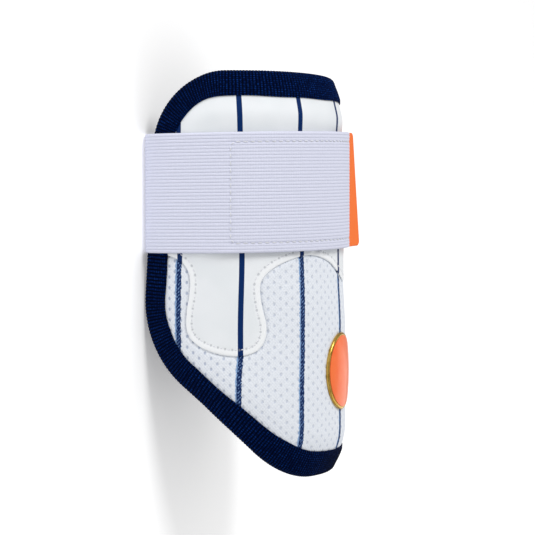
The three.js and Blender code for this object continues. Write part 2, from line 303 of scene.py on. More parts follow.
@dataclass(frozen=True)
class Form:
    """The U that the pieces are bent onto, and the outline of the flat pattern.

    Attributes:
        length: length of the guard.
        lift: height of the U's centre over the floor.
        nose_radius: radius of the leather's face round the nose.
        pad_skin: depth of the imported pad's face under the leather's face.
        bow_top: how far the nose line falls back at the top edge.
        bow_middle: height at which the nose line stands out furthest.
        tip_drop: how far the tape draws the nose line in at the lower tip.
        tip_reach: height at which that begins.
        crown_drop: how far the padded face falls away at its edge.
        crown_width: how far in from the edge that fall begins.
        tip: corner between the lower tip and the slanted edge.
        rim: corner between the slanted edge and the rim.
        top_s: place of the upper corner, round the U.
        top_radius: radius of the upper corner.
        outline_step: distance between the outline's points.
    """

    length: float
    lift: float
    nose_radius: float = 58.4
    pad_skin: float = 1.9
    bow_top: float = 2.2
    bow_middle: float = 52.0
    tip_drop: float = 2.4
    tip_reach: float = 24.0
    crown_drop: float = 6.0
    crown_width: float = 24.0
    tip: Corner = Corner(42.0, 0.0, 74.0)
    rim: Corner = Corner(127.4, 68.9, 58.0)
    top_s: float = 117.4
    top_radius: float = 44.0
    outline_step: float = 1.5

    @classmethod
    def from_frame(cls) -> "Form":
        """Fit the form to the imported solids.

        Returns:
            The form, with its length and height taken from them.
        """
        low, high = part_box("edge_binding")
        pad_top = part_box("foam_shell")[1].z / MM
        return cls(length=(high.x - low.x) / MM, lift=pad_top + cls.pad_skin - cls.nose_radius)

    @cached_property
    def arc_half(self) -> float:
        """Length from the nose line to where a wing runs on straight."""
        return self.nose_radius * math.pi / 2

    @cached_property
    def outline(self) -> Border:
        """Closed outline of the flat pattern."""
        chain = [
            Corner(0, 0, 0),
            self.tip,
            self.rim,
            Corner(self.top_s, self.length, self.top_radius),
            Corner(0, self.length, 0),
        ]
        arcs = []
        for before, corner, after in zip(chain, chain[1:], chain[2:]):
            places = [np.array(place[:2]) for place in (before, corner, after)]
            arcs.append(rounded_corner(*places, corner.radius))
        near = np.vstack(arcs)
        far = near[::-1] * (Side.FAR.value, 1)
        loop = np.vstack([near, far, near[:1]])
        return Border(resampled(loop, self.outline_step)[:-1], closed=True)

    def crown(self, inset: Array) -> Array:
        """Return how far the padded face has fallen at a distance in from the edge."""
        return self.crown_drop * np.clip(1 - inset / self.crown_width, 0, 1) ** 2

    def bow(self, h: Array) -> Array:
        """Return how far the nose line has fallen back at a height."""
        fall = self.bow_top * ((h - self.bow_middle) / (self.length - self.bow_middle)) ** 2
        return fall + self.tip_drop * np.maximum(1 - h / self.tip_reach, 0) ** 2

    def section(self, s: Array, t: Array) -> tuple[Array, Array]:
        """Bend a place in the guard's cross-section.

        Args:
            s: lengths round the U.
            t: heights over the leather's face.

        Returns:
            The places across the guard and up from the floor, without the nose line's bow.
        """
        turn = np.minimum(np.abs(s), self.arc_half) / self.nose_radius
        run = np.maximum(np.abs(s) - self.arc_half, 0)
        reach = self.nose_radius + t
        return -np.sign(s) * reach * np.sin(turn), reach * np.cos(turn) - run + self.lift

    def bend(self, s: Array, h: Array, t: Array) -> Array:
        """Bend flat places onto the U.

        Args:
            s: lengths round the U.
            h: heights up from the lower tip.
            t: heights over the leather's face.

        Returns:
            Rows of x, y and z in the frame.
        """
        across, up = self.section(s, t)
        return np.column_stack([self.length / 2 - h, across, up - self.bow(h)])


class Workpiece:
    """A mesh object on the bench, shaped with operators and by moving its points."""

    def __init__(self, name: str, primitive: Callable, **settings: object) -> None:
        """Add a primitive at the origin, alone in the selection.

        Args:
            name: name of the piece.
            primitive: the operator that adds it.
            settings: the operator's settings.
        """
        bpy.ops.object.select_all(action="DESELECT")
        primitive(calc_uvs=False, **settings)
        self.obj: bpy.types.Object = bpy.context.active_object
        self.obj.name = name
        self.obj.data.name = name

    @property
    def mesh(self) -> bpy.types.Mesh:
        """The object's mesh."""
        return self.obj.data

    @property
    def points(self) -> Array:
        """The vertices' places, one row each."""
        flat = np.empty(3 * len(self.mesh.vertices), dtype=np.float32)
        self.mesh.vertices.foreach_get("co", flat)
        return flat.reshape(-1, 3).astype(float) / MM

    @points.setter
    def points(self, places: Array) -> None:
        """Move the vertices to the given places."""
        self.mesh.vertices.foreach_set("co", (places * MM).astype(np.float32).ravel())
        self.mesh.update()

    @property
    def picked(self) -> Array:
        """Which vertices are selected."""
        flags = np.empty(len(self.mesh.vertices), dtype=bool)
        self.mesh.vertices.foreach_get("select", flags)
        return flags

    def take(self) -> None:
        """Select this piece alone and make it the active one."""
        bpy.ops.object.select_all(action="DESELECT")
        self.obj.select_set(True)
        bpy.context.view_layer.objects.active = self.obj

    @contextmanager
    def editing(self, picked: Array | None = None) -> Iterator[None]:
        """Open the mesh in edit mode.

        Args:
            picked: which vertices are selected, or None for all of them.

        Yields:
            Nothing; the mesh is in edit mode until the block ends.
        """
        self.take()
        chosen = np.ones(len(self.mesh.vertices), dtype=bool) if picked is None else picked
        ends = self.edges()
        self.mesh.vertices.foreach_set("select", chosen)
        self.mesh.edges.foreach_set("select", chosen[ends].all(axis=1))
        self.mesh.polygons.foreach_set("select", np.full(len(self.mesh.polygons), picked is None))
        bpy.ops.object.mode_set(mode="EDIT")
        bpy.ops.mesh.select_mode(type="VERT")
        yield
        bpy.ops.object.mode_set(mode="OBJECT")

    def edges(self) -> Array:
        """List the mesh's edges.

        Returns:
            The edges' vertex numbers, one row each.
        """
        ends = np.empty(2 * len(self.mesh.edges), dtype=np.int32)
        self.mesh.edges.foreach_get("vertices", ends)
        return ends.reshape(-1, 2)

    def rim(self) -> Array:
        """List the edges that only one face uses.

        Returns:
            These edges' vertex numbers, one row each.
        """
        used = np.empty(len(self.mesh.loops), dtype=np.int32)
        self.mesh.loops.foreach_get("edge_index", used)
        return self.edges()[np.bincount(used, minlength=len(self.mesh.edges)) == 1]

    def delete(self, picked: Array) -> None:
        """Delete vertices, with what hangs loose after that.

        Args:
            picked: which vertices go.
        """
        with self.editing(picked):
            bpy.ops.mesh.delete(type="VERT")
            bpy.ops.mesh.select_all(action="SELECT")
            bpy.ops.mesh.delete_loose()

    def join_doubles(self, distance: float = 0.01) -> None:
        """Merge vertices that lie within a distance of each other."""
        with self.editing():
            bpy.ops.mesh.remove_doubles(threshold=distance * MM)

    def face_up(self) -> None:
        """Turn the faces of a flat piece to look along +z."""
        with self.editing():
            bpy.ops.mesh.normals_make_consistent(inside=False)
        normals = np.empty(3 * len(self.mesh.polygons), dtype=np.float32)
        self.mesh.polygons.foreach_get("normal", normals)
        if normals[2::3].sum() < 0:
            with self.editing():
                bpy.ops.mesh.flip_normals()

    def face_out(self) -> None:
        """Turn the faces of a closed piece outwards."""
        with self.editing():
            bpy.ops.mesh.normals_make_consistent(inside=False)

    def flat_size(self) -> dict[str, object]:
        """Return a flat piece's width, length and area, in metres."""
        length, width, _ = np.ptp(self.points, axis=0) * MM
        return {"flat": (width, length), "area": sum(face.area for face in self.mesh.polygons)}

    def modify(self, kind: str, **settings: object) -> None:
        """Add a modifier and apply it.

        Args:
            kind: type of the modifier.
            settings: its settings.
        """
        self.take()
        modifier = self.obj.modifiers.new(kind, kind)
        for key, setting in settings.items():
            setattr(modifier, key, setting)
        bpy.ops.object.modifier_apply(modifier=modifier.name)

    def thicken(self, thickness: float) -> None:
        """Give a sheet its thickness, inwards from its face."""
        self.modify("SOLIDIFY", thickness=thickness * MM, offset=-1)

    def note(self, name: str, values: Array) -> None:
        """Keep up to three numbers for each vertex, for the finish to read.

        Args:
            name: name of the kept numbers.
            values: the numbers, one row for each vertex.
        """
        rows = np.zeros((len(values), 3), dtype=np.float32)
        rows[:, :values.shape[1]] = values
        attribute = self.mesh.attributes.new(name, "FLOAT_VECTOR", "POINT")
        attribute.data.foreach_set("vector", rows.ravel())

    def dress(self, material: bpy.types.Material, slot: Slot, angle: float = 40) -> bpy.types.Object:
        """Finish the piece: smooth it, dress it and set it on its body.

        Args:
            material: the finish.
            slot: the record's slot that the finish belongs to; it is not used.
            angle: faces that meet at less than this many degrees are shaded as one surface.

        Returns:
            The finished object.
        """
        self.take()
        bpy.ops.object.shade_smooth_by_angle(angle=math.radians(angle))
        self.mesh.materials.clear()
        self.mesh.materials.append(material)
        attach(self.obj, BODY)
        LOG.info("%s: %d faces", self.obj.name, len(self.mesh.polygons))
        return self.obj


class Value:
    """A socket of a finish's nodes; arithmetic on it adds Math nodes."""

    def __init__(self, graph: "Graph", socket: bpy.types.NodeSocket) -> None:
        """Keep the socket with the graph that it belongs to."""
        self.graph = graph
        self.socket = socket

    def math(self, operation: str, *others: "Value | float") -> "Value":
        """Return the result of a Math node on this value and others."""
        return self.graph.node("ShaderNodeMath", {"operation": operation}, (self, *others))

    def __add__(self, other: "Value | float") -> "Value":
        """Return the sum."""
        return self.math("ADD", other)

    def __sub__(self, other: "Value | float") -> "Value":
        """Return the difference."""
        return self.math("SUBTRACT", other)

    def __rsub__(self, other: float) -> "Value":
        """Return the difference from a number."""
        return self.graph.node("ShaderNodeMath", {"operation": "SUBTRACT"}, (other, self))

    def __mul__(self, other: "Value | float") -> "Value":
        """Return the product."""
        return self.math("MULTIPLY", other)

    def __truediv__(self, other: "Value | float") -> "Value":
        """Return the quotient."""
        return self.math("DIVIDE", other)

    def __pow__(self, power: float) -> "Value":
        """Return the power."""
        return self.math("POWER", power)

    __radd__ = __add__
    __rmul__ = __mul__

    def wave(self, half: float) -> "Value":
        """Return the distance to the nearest whole multiple of twice the half period."""
        return self.math("PINGPONG", half)

    def ripple(self, half: float) -> "Value":
        """Return a sine that changes its sign at each whole multiple of the half period."""
        return (self * (math.pi / half)).math("SINE")

    def rise(self, low: float, high: float) -> "Value":
        """Return a smooth rise from 0 at low to 1 at high."""
        sockets = {"Value": self, "From Min": low, "From Max": high}
        return self.graph.node("ShaderNodeMapRange", {"interpolation_type": "SMOOTHSTEP"}, sockets)


class Graph:
    """The nodes of one new material."""

    def __init__(self, name: str) -> None:
        """Start an empty material.

        Args:
            name: name of the material.
        """
        self.material = bpy.data.materials.new(name)
        self.material.use_nodes = True
        self.tree = self.material.node_tree
        self.tree.nodes.clear()

    @staticmethod
    def pick(sockets: Sequence[bpy.types.NodeSocket], key: int | str) -> bpy.types.NodeSocket:
        """Pick a socket of a node.

        Args:
            sockets: the node's inputs or outputs.
            key: the socket's number, identifier or name.

        Returns:
            The socket.
        """
        if isinstance(key, int):
            return sockets[key]
        return next(socket for socket in sockets if key in (socket.identifier, socket.name))

    def node(
        self,
        kind: str,
        settings: dict[str, object],
        sockets: dict | Sequence = (),
        output: int | str = 0,
    ) -> Value | None:
        """Add a node.

        Args:
            kind: type of the node.
            settings: its own settings, set before its sockets.
            sockets: values or links of its inputs, by name or in order.
            output: which output is wanted.

        Returns:
            The output, or None where the node has none.
        """
        node = self.tree.nodes.new(kind)
        for key, setting in settings.items():
            setattr(node, key, setting)
        pairs = sockets.items() if isinstance(sockets, dict) else enumerate(sockets)
        for key, value in pairs:
            socket = self.pick(node.inputs, key)
            if isinstance(value, Value):
                self.tree.links.new(value.socket, socket)
            else:
                socket.default_value = value
        return Value(self, self.pick(node.outputs, output)) if len(node.outputs) else None

    def noted(self, name: str) -> tuple[Value, Value, Value, Value]:
        """Read the numbers that a piece keeps for its vertices.

        Args:
            name: name of the kept numbers.

        Returns:
            The three numbers as one vector, and each by itself.
        """
        vector = self.node("ShaderNodeAttribute", {"attribute_name": name}, output="Vector")
        parts = [self.node("ShaderNodeSeparateXYZ", {}, (vector,), axis) for axis in "XYZ"]
        return vector, *parts

    def stretched(self, vector: Value, scale: tuple[float, float, float]) -> Value:
        """Return a vector multiplied axis by axis."""
        return self.node("ShaderNodeVectorMath", {"operation": "MULTIPLY"}, (vector, scale))

    def noise(self, vector: Value, scale: float, detail: float) -> Value:
        """Return a cloudy pattern between 0 and 1."""
        sockets = {"Vector": vector, "Scale": scale, "Detail": detail}
        return self.node("ShaderNodeTexNoise", {"noise_dimensions": "3D"}, sockets)

    def mix(self, share: Value, first: Value | Colour, second: Value | Colour) -> Value:
        """Return a colour between two others."""
        sockets = {"Factor_Float": share, "A_Color": first, "B_Color": second}
        return self.node("ShaderNodeMix", {"data_type": "RGBA"}, sockets, "Result_Color")

    def bump(self, height: Value, depth: float, strength: float) -> Value:
        """Return a normal that shows a relief of some depth in millimetres."""
        sockets = {"Height": height, "Distance": depth * MM, "Strength": strength}
        return self.node("ShaderNodeBump", {}, sockets)

    def surface(self, sockets: dict[str, object]) -> bpy.types.Material:
        """Close the graph with one surface shader.

        Args:
            sockets: values or links of the shader's inputs.

        Returns:
            The material.
        """
        shader = self.node("ShaderNodeBsdfPrincipled", {}, sockets)
        self.node("ShaderNodeOutputMaterial", {}, {"Surface": shader})
        return self.material


@dataclass(frozen=True)
class Stripes:
    """Pinstripes that run along the guard, drawn together under the strap and spread towards the tip.

    Attributes:
        pitch: distance between stripes.
        width: width of a stripe.
        pinch: how much closer the stripes lie under the strap.
        pinch_at: height of the strap's middle.
        pinch_half: distance from there to the strap's edges.
        pinch_reach: distance beyond the strap over which the stripes draw apart again.
        fan: how much further apart they lie near the tip.
        fan_between: heights between which they spread.
        blur: softness of a stripe's edge.
    """

    pitch: float = 34.64
    width: float = 2.9
    pinch: float = 0.55
    pinch_at: float = 155.4
    pinch_half: float = 32.0
    pinch_reach: float = 45.0
    fan: float = 0.0
    fan_between: tuple[float, float] = (50.0, 72.0)
    blur: float = 0.12

    def distance(self, s: Value, h: Value) -> Value:
        """Measure a place against the stripes.

        Args:
            s: length round the U.
            h: height up from the lower tip.

        Returns:
            The distance to the nearest stripe's middle.
        """
        away = (h - self.pinch_at).math("ABSOLUTE")
        held = 1 - away.rise(self.pinch_half, self.pinch_half + self.pinch_reach)
        spread = 1 - h.rise(*self.fan_between)
        pitch = self.pitch + self.fan * spread - self.pinch * held
        return (s / pitch).wave(0.5) * pitch

    def mask(self, s: Value, h: Value, fray: Value | float = 0.0, extra: float = 0.0) -> Value:
        """Show where the stripes are.

        Args:
            s: length round the U.
            h: height up from the lower tip.
            fray: how far the stripe's edge strays.
            extra: how much wider the stripe is on this cloth.

        Returns:
            A value that is 1 on a stripe.
        """
        edge = (self.width + extra) / 2
        return 1 - (self.distance(s, h) + fray).rise(edge - self.blur, edge + self.blur)


@dataclass(frozen=True)
class LeatherFinish:
    """Smooth white synthetic leather with navy pinstripes and a pricked seam.

    Attributes:
        white: colour of the face.
        shaded: colour of its faint clouds.
        turned: colour of the turned edge.
        navy: colour of the stripes.
        hole_shade: painted shade colour of the needle holes.
        hole_shade_share: how much of that painted shade they show.
        hole_radius: radius at which a needle hole has faded out.
        hole_core: share of that radius at which it begins to fade.
        stitch_inset: distance of the stitches from the seam.
        stitch_pitch: distance between stitches.
        turned_blend: distance each side of the stitches over which the turned edge's colour ends.
        stripes: layout of the pinstripes.
    """

    white: Colour = srgb(240, 243, 246)
    shaded: Colour = srgb(235, 239, 242)
    turned: Colour = srgb(247, 249, 251)
    navy: Colour = srgb(0, 40, 96)
    hole_shade: Colour = srgb(150, 155, 162)
    hole_shade_share: float = 0.5
    hole_radius: float = 0.95
    hole_core: float = 0.3
    stitch_inset: float = 3.3
    stitch_pitch: float = 4.2
    turned_blend: float = 2.0
    stripes: Stripes = Stripes()

    def material(self) -> bpy.types.Material:
        """Build the leather's nodes.

        Returns:
            The material.
        """
        graph = Graph("white_leather")
        pattern, s, h, _ = graph.noted("pattern")
        _, along, inside, _ = graph.noted("seam")
        pebble = graph.noise(pattern, scale=1.6, detail=4)
        cloud = graph.noise(pattern, scale=0.05, detail=1)
        past_stitch = inside - self.stitch_inset
        reach = (past_stitch ** 2 + along.wave(self.stitch_pitch / 2) ** 2) ** 0.5
        hole = 1 - reach.rise(self.hole_radius * self.hole_core, self.hole_radius)
        face = graph.mix(cloud.rise(low=0.35, high=0.7), self.white, self.shaded)
        base = graph.mix(past_stitch.rise(-self.turned_blend, self.turned_blend), self.turned, face)
        striped = graph.mix(self.stripes.mask(s, h), base, self.navy)
        # Painted shade: the needle holes are darkened in the base colour; their dip in the normal is relief.
        return graph.surface({
            "Base Color": graph.mix(hole * self.hole_shade_share, striped, self.hole_shade),
            "Roughness": pebble * 0.16 + 0.34,
            "Specular IOR Level": 0.12,
            "Normal": graph.bump(pebble - hole * 2, depth=0.07, strength=0.6),
        })


@dataclass(frozen=True)
class MeshFinish:
    """White air mesh with staggered holes, and pinstripes whose plied threads show.

    Attributes:
        white: colour of the knit's crests.
        knit: colour between them, random clouds partly mixed with painted shade between the crests.
        hole_shade: painted shade colour of the holes.
        navy: colour of a stripe's thread.
        painted_sheen_fleck: colour of the light flecks in that thread, a painted sheen of its fibres.
        halo: colour of the dye beside it.
        thread_s: half a wave of the knit, round the U.
        thread_h: half a wave of the knit, along the guard.
        column: distance between columns of holes.
        row: distance between the holes of one column.
        hole_s: a hole's radius round the U.
        hole_h: a hole's radius along the guard.
        hole_edge: distances between which a hole ends, in radii.
        hole_shade_share: how much of that painted shade the holes show on the nose.
        wing_hole_shade_share: how much more painted shade they show on the wings.
        wing_between: lengths round the U between which that begins.
        stripes: layout of the pinstripes.
        fray: how far a stripe's edge strays.
        halo_extra: how much wider a stripe and its halo are than a stripe on leather.
        core_extra: how much wider the thread alone is.
        core_fray: share of the fray that the thread's own edge has.
        core_shift: how far the thread lies from the stripe's middle, towards the far side.
        twist: length of a turn of the plied thread.
        ply: how strongly its plies show in the painted sheen.
        painted_sheen_fleck_between: values of the tangle between which the painted sheen flecks begin.
        painted_sheen_fleck_share: how much of their colour the painted sheen flecks show.
    """

    white: Colour = srgb(239, 243, 249)
    knit: Colour = srgb(227, 232, 241)
    hole_shade: Colour = srgb(158, 170, 196)
    navy: Colour = srgb(10, 38, 88)
    painted_sheen_fleck: Colour = srgb(122, 156, 206)
    halo: Colour = srgb(138, 170, 212)
    thread_s: float = 0.85
    thread_h: float = 0.95
    column: float = 3.4
    row: float = 5.7
    hole_s: float = 0.75
    hole_h: float = 1.0
    hole_edge: tuple[float, float] = (0.5, 1.25)
    hole_shade_share: float = 0.36
    wing_hole_shade_share: float = 0.4
    wing_between: tuple[float, float] = (50.0, 105.0)
    stripes: Stripes = Stripes(pinch=0.25, fan=0.6)
    fray: float = 1.8
    halo_extra: float = 0.5
    core_extra: float = -0.2
    core_fray: float = 0.6
    core_shift: float = 0.38
    twist: float = 1.9
    ply: float = 0.12
    painted_sheen_fleck_between: tuple[float, float] = (0.5, 0.72)
    painted_sheen_fleck_share: float = 0.8

    def hole(self, s: Value, h: Value, offset: int) -> Value:
        """Measure a place against one lattice of holes.

        Args:
            s: length round the U.
            h: height up from the lower tip.
            offset: 0 for the first lattice, 1 for the one that is staggered to it.

        Returns:
            The distance to the nearest hole, in hole radii.
        """
        across = (s + offset * self.column).wave(self.column) / self.hole_s
        up = (h + offset * self.row / 2).wave(self.row / 2) / self.hole_h
        return (across ** 2 + up ** 2) ** 0.5

    def dyed(self, graph: Graph, pattern: Value, s: Value, h: Value) -> tuple[Value, Value]:
        """Dye the pinstripes.

        Args:
            graph: the mesh's graph.
            pattern: place on the pattern.
            s: length round the U.
            h: height up from the lower tip.

        Returns:
            Where the stripes are, and their colour.
        """
        tangle = graph.noise(graph.stretched(pattern, (1.6, 0.8, 1.0)), scale=0.9, detail=2)
        fray = (tangle - 0.5) * self.fray
        stripe = self.stripes.mask(s, h, fray, self.halo_extra)
        core = self.stripes.mask(s + self.core_shift, h, fray * self.core_fray, self.core_extra)
        plies = (s + h).ripple(self.twist / 2) * self.ply
        # Painted sheen: light flecks along the stripe's thread stand for its fibres' reflections.
        flecks = (tangle + plies).rise(*self.painted_sheen_fleck_between) * self.painted_sheen_fleck_share
        return stripe, graph.mix(core, self.halo, graph.mix(flecks, self.navy, self.painted_sheen_fleck))

    def material(self) -> bpy.types.Material:
        """Build the mesh's nodes.

        Returns:
            The material.
        """
        graph = Graph("white_air_mesh")
        pattern, s, h, _ = graph.noted("pattern")
        distance = self.hole(s, h, 0).math("MINIMUM", self.hole(s, h, 1))
        hole = 1 - distance.rise(*self.hole_edge)
        threads = s.ripple(self.thread_s) * h.ripple(self.thread_h)
        fluff = graph.noise(pattern, scale=1.1, detail=3)
        # Random clouds, partly mixed with painted shade between the knit's crests.
        base = graph.mix((fluff + threads * 0.12).rise(*CLOUDS), self.white, self.knit)
        # Painted shade in the holes, deeper on the wings.
        shown = s.math("ABSOLUTE").rise(*self.wing_between) * self.wing_hole_shade_share + self.hole_shade_share
        pierced = graph.mix(hole * shown, base, self.hole_shade)
        stripe, dye = self.dyed(graph, pattern, s, h)
        return graph.surface({
            "Base Color": graph.mix(stripe, pierced, dye),
            "Roughness": 0.82,
            "Specular IOR Level": 0.15,
            "Normal": graph.bump(threads * 0.5 + fluff - hole * 2, depth=0.16, strength=0.6),
        })


@dataclass(frozen=True)
class BindingFinish:
    """Ribbed navy binding tape, woven of shiny thread.

    Attributes:
        navy: colour of a rib.
        painted_rib_gap_shade: painted shade colour between ribs.
        painted_glint: painted highlight colour of a lit thread.
        rib: distance between ribs.
        gap: distances from the middle of a gap between which a rib begins.
        thread: width of a thread.
        painted_glint_between: values of the speckle between which a thread gets the painted highlight.
        painted_glint_share: how much of the painted highlight colour a lit thread shows.
    """

    navy: Colour = srgb(0, 12, 50)
    painted_rib_gap_shade: Colour = srgb(0, 4, 20)
    painted_glint: Colour = srgb(18, 66, 148)
    rib: float = 1.9
    gap: tuple[float, float] = (0.1, 0.798)
    thread: float = 0.62
    painted_glint_between: tuple[float, float] = (0.58, 0.86)
    painted_glint_share: float = 0.6

    def material(self) -> bpy.types.Material:
        """Build the tape's nodes.

        Returns:
            The material.
        """
        graph = Graph("navy_binding")
        pattern, along, across, _ = graph.noted("pattern")
        crest = along.wave(self.rib / 2).rise(*self.gap)
        pick = across.ripple(self.thread) * 0.5 + 0.5
        speckle = graph.noise(graph.stretched(pattern, (0.55, 1.0, 1.0)), scale=1.5, detail=2)
        # Painted shade: the gaps between ribs are darkened.
        base = graph.mix(crest, self.painted_rib_gap_shade, self.navy)
        # Painted highlight: lit threads on the rib crests are painted a lighter blue; the same mask also
        # lowers their roughness.
        glossy_thread_and_painted_glint = (speckle + pick * 0.2).rise(*self.painted_glint_between) * crest
        return graph.surface({
            "Base Color": graph.mix(glossy_thread_and_painted_glint * self.painted_glint_share, base, self.painted_glint),
            "Roughness": 0.72 - glossy_thread_and_painted_glint * 0.2,
            "Specular IOR Level": 0.015,
            "Normal": graph.bump(pick * 0.6 + speckle * 0.6, depth=0.14, strength=0.7),
        })


@dataclass(frozen=True)
class ElasticFinish:
    """White woven elastic with a rib for every warp cord.

    Attributes:
        rib: distance between ribs.
        white: colour of a rib.
        groove: painted shade colour between ribs.
        warm: colour of the yarn's clouds.
        gap: distances from the middle of a groove between which a rib begins.
        weft: width of a weft thread.
    """

    rib: float
    white: Colour = srgb(225, 227, 243)
    groove: Colour = srgb(208, 211, 229)
    warm: Colour = srgb(217, 219, 237)
    gap: tuple[float, float] = (0.02, 0.34)
    weft: float = 0.7

    def material(self) -> bpy.types.Material:
        """Build the elastic's nodes.

        Returns:
            The material.
        """
        graph = Graph("white_elastic")
        pattern, along, across, _ = graph.noted("pattern")
        crest = across.wave(self.rib / 2).rise(*self.gap)
        weave = along.ripple(self.weft) * 0.5 + 0.5
        fluff = graph.noise(graph.stretched(pattern, (0.6, 1.6, 1.0)), scale=1.2, detail=3)
        base = graph.mix(fluff.rise(*CLOUDS), self.white, self.warm)
        # Painted shade: the grooves between ribs are darkened in the base colour.
        return graph.surface({
            "Base Color": graph.mix(1 - crest, base, self.groove),
            "Roughness": 0.86,
            "Specular IOR Level": 0.2,
            "Normal": graph.bump(crest * 0.8 + weave * 0.25 + fluff * 0.4, depth=0.16, strength=0.7),
        })


@dataclass(frozen=True)
class ClothFinish:
    """Plain cloth: a colour, its shade and a fine weave on the piece's pattern.

    Attributes:
        name: name of the material.
        colour: colour of the cloth.
        shade: colour between its threads.
        weave: width of a thread.
        roughness: least roughness.
        relief: depth of the weave.
    """

    name: str
    colour: Colour
    shade: Colour
    weave: float
    roughness: float
    relief: float

    def material(self) -> bpy.types.Material:
        """Build the cloth's nodes.

        Returns:
            The material.
        """
        graph = Graph(self.name)
        pattern, across, up, _ = graph.noted("pattern")
        weave = across.ripple(self.weave) * up.ripple(self.weave)
        fluff = graph.noise(pattern, scale=0.8 / self.weave, detail=3)
        share = (weave * 0.25 + fluff).rise(low=0.3, high=0.8)
        return graph.surface({
            "Base Color": graph.mix(share, self.shade, self.colour),
            "Roughness": fluff * 0.12 + self.roughness,
            "Specular IOR Level": 0.12,
            "Normal": graph.bump(weave * 0.5 + fluff, self.relief, strength=0.7),
        })


@dataclass(frozen=True)
class GlossFinish:
    """Hard shiny finish, plain or metal, with a faint unevenness.

    Attributes:
        name: name of the material.
        colour: main colour.
        dull: colour of its duller clouds.
        roughness: least roughness.
        metallic: 1 for metal, 0 otherwise.
        specular: strength of its reflections.
        coat: strength of its clear coat.
    """

    name: str
    colour: Colour
    dull: Colour
    roughness: float
    metallic: float
    specular: float
    coat: float

    def material(self) -> bpy.types.Material:
        """Build the hard finish's nodes.

        Returns:
            The material.
        """
        graph = Graph(self.name)
        place = graph.node("ShaderNodeTexCoord", {}, output="Object")
        cloud = graph.noise(place, scale=220, detail=3)
        fine = graph.noise(place, scale=1800, detail=2)
        return graph.surface({
            "Base Color": graph.mix(cloud.rise(*CLOUDS), self.colour, self.dull),
            "Roughness": fine * 0.1 + self.roughness,
            "Metallic": self.metallic,
            "Specular IOR Level": self.specular,
            "Coat Weight": self.coat,
            "Coat Roughness": 0.06,
            "Normal": graph.bump(cloud, depth=0.05, strength=0.25),
        })


def unit_grid(name: str, columns: int, rows: int) -> tuple[Workpiece, Array]:
    """Add a square grid that is to be drawn into shape.

    Args:
        name: name of the piece.
        columns: number of faces along x.
        rows: number of faces along y.

    Returns:
        The piece, and each vertex's place in the grid as shares from 0 to 1.
    """
    add_grid = bpy.ops.mesh.primitive_grid_add
    piece = Workpiece(name, add_grid, size=1, x_subdivisions=columns, y_subdivisions=rows)
    return piece, piece.points * MM + 0.5


def flat_sheet(
    name: str,
    form: Form,
    column: float,
    row: float,
    cuts: Sequence[tuple[Border, float]],
    trim: float = 0.45,
) -> Workpiece:
    """Cut a fine sheet on the flat pattern.

    Args:
        name: name of the piece.
        form: the form, whose pattern the sheet lies on.
        column: spacing of the grid round the U.
        row: spacing of the grid along the guard.
        cuts: the borders that cut it, each with how far inside the border the cut runs.
        trim: share of the spacing within which vertices beside a cut are cut off too.

    Returns:
        The sheet, flat at the height 0, with its edge drawn onto the cuts.
    """
    reach = np.abs(form.outline.points[:, 0]).max()
    rows = 2 * math.ceil(form.length / 2 / row)
    columns = 2 * math.ceil(reach / column)
    sheet, _ = unit_grid(name, rows, columns)
    with sheet.editing():
        bpy.ops.transform.resize(value=(rows * row * MM, columns * column * MM, 1))
    inside = np.min([border.measure(on_pattern(sheet, form))[0] - inset for border, inset in cuts], axis=0)
    sheet.delete(inside < trim * min(column, row))
    edge = np.unique(sheet.rim())
    places = on_pattern(sheet, form)
    measured = [(border.measure(places[edge]), inset) for border, inset in cuts]
    gaps = np.array([distance - inset for (distance, _, _), inset in measured])
    normals = np.array([normal for (_, normal, _), _ in measured])
    nearest = gaps.argmin(axis=0)
    rank = np.arange(len(edge))
    places[edge] -= gaps[nearest, rank][:, None] * normals[nearest, rank]
    sheet.points = laid_flat(places, form, np.zeros(len(places)))
    return sheet


def on_pattern(sheet: Workpiece, form: Form) -> Array:
    """Return a flat piece's vertices as rows of s and h."""
    points = sheet.points
    return np.column_stack([-points[:, 1], form.length / 2 - points[:, 0]])


def laid_flat(places: Array, form: Form, height: Array) -> Array:
    """Return places on the pattern as points of a flat piece, at their heights over the leather's face."""
    return np.column_stack([form.length / 2 - places[:, 1], -places[:, 0], height])


def bent(sheet: Workpiece, form: Form) -> None:
    """Bend a flat piece onto the form."""
    places = on_pattern(sheet, form)
    sheet.points = form.bend(places[:, 0], places[:, 1], sheet.points[:, 2])


@dataclass
class Seam:
    """Scalloped lower edge of the leather: a tongue on the nose and a lobe on each side.

    Attributes:
        height: height of the arches between the lobes.
        lobe: from the arch beside the nose round the side lobe to the rim, as s and depth below the arch.
        tongue: from the far arch round the tongue to the near arch, likewise.
        step: distance between the points of the finished line.
    """

    height: float = 120.0
    lobe: tuple[tuple[float, float], ...] = (
        (38, 1.6), (46.8, 4.7), (53.6, 8.7), (57.8, 13.6), (58.7, 19.7), (57.3, 28.7),
        (55.4, 36.7), (56, 44.2), (60, 50.2), (67.5, 52.9), (76, 53), (86, 50.7),
        (94.4, 46.4), (98.8, 39.7), (98.6, 29.2), (97, 20.2), (96.9, 11.2), (100.2, 5),
        (106, 1.4), (114, -0.2), (126, -1), (150, -1.4),
    )
    tongue: tuple[tuple[float, float], ...] = (
        (-38, 2.2), (-33.4, 4.4), (-29, 7.8), (-24, 11.6), (-14, 14.8), (-4.6, 11.6),
        (3.6, 7.8), (11, 4), (19.8, 1.2), (29, 0),
    )
    step: float = 0.8

    def border(self) -> Border:
        """Draw the seam's line.

        Returns:
            The line with the leather on its left, from the far rim to the near one.
        """
        near = np.array(self.lobe)
        far = near[:0:-1] * (Side.FAR.value, 1)
        line = curve_through(np.vstack([far, self.tongue, near]))
        line[:, 1] = self.height - line[:, 1]
        return Border(resampled(line, self.step), closed=False)


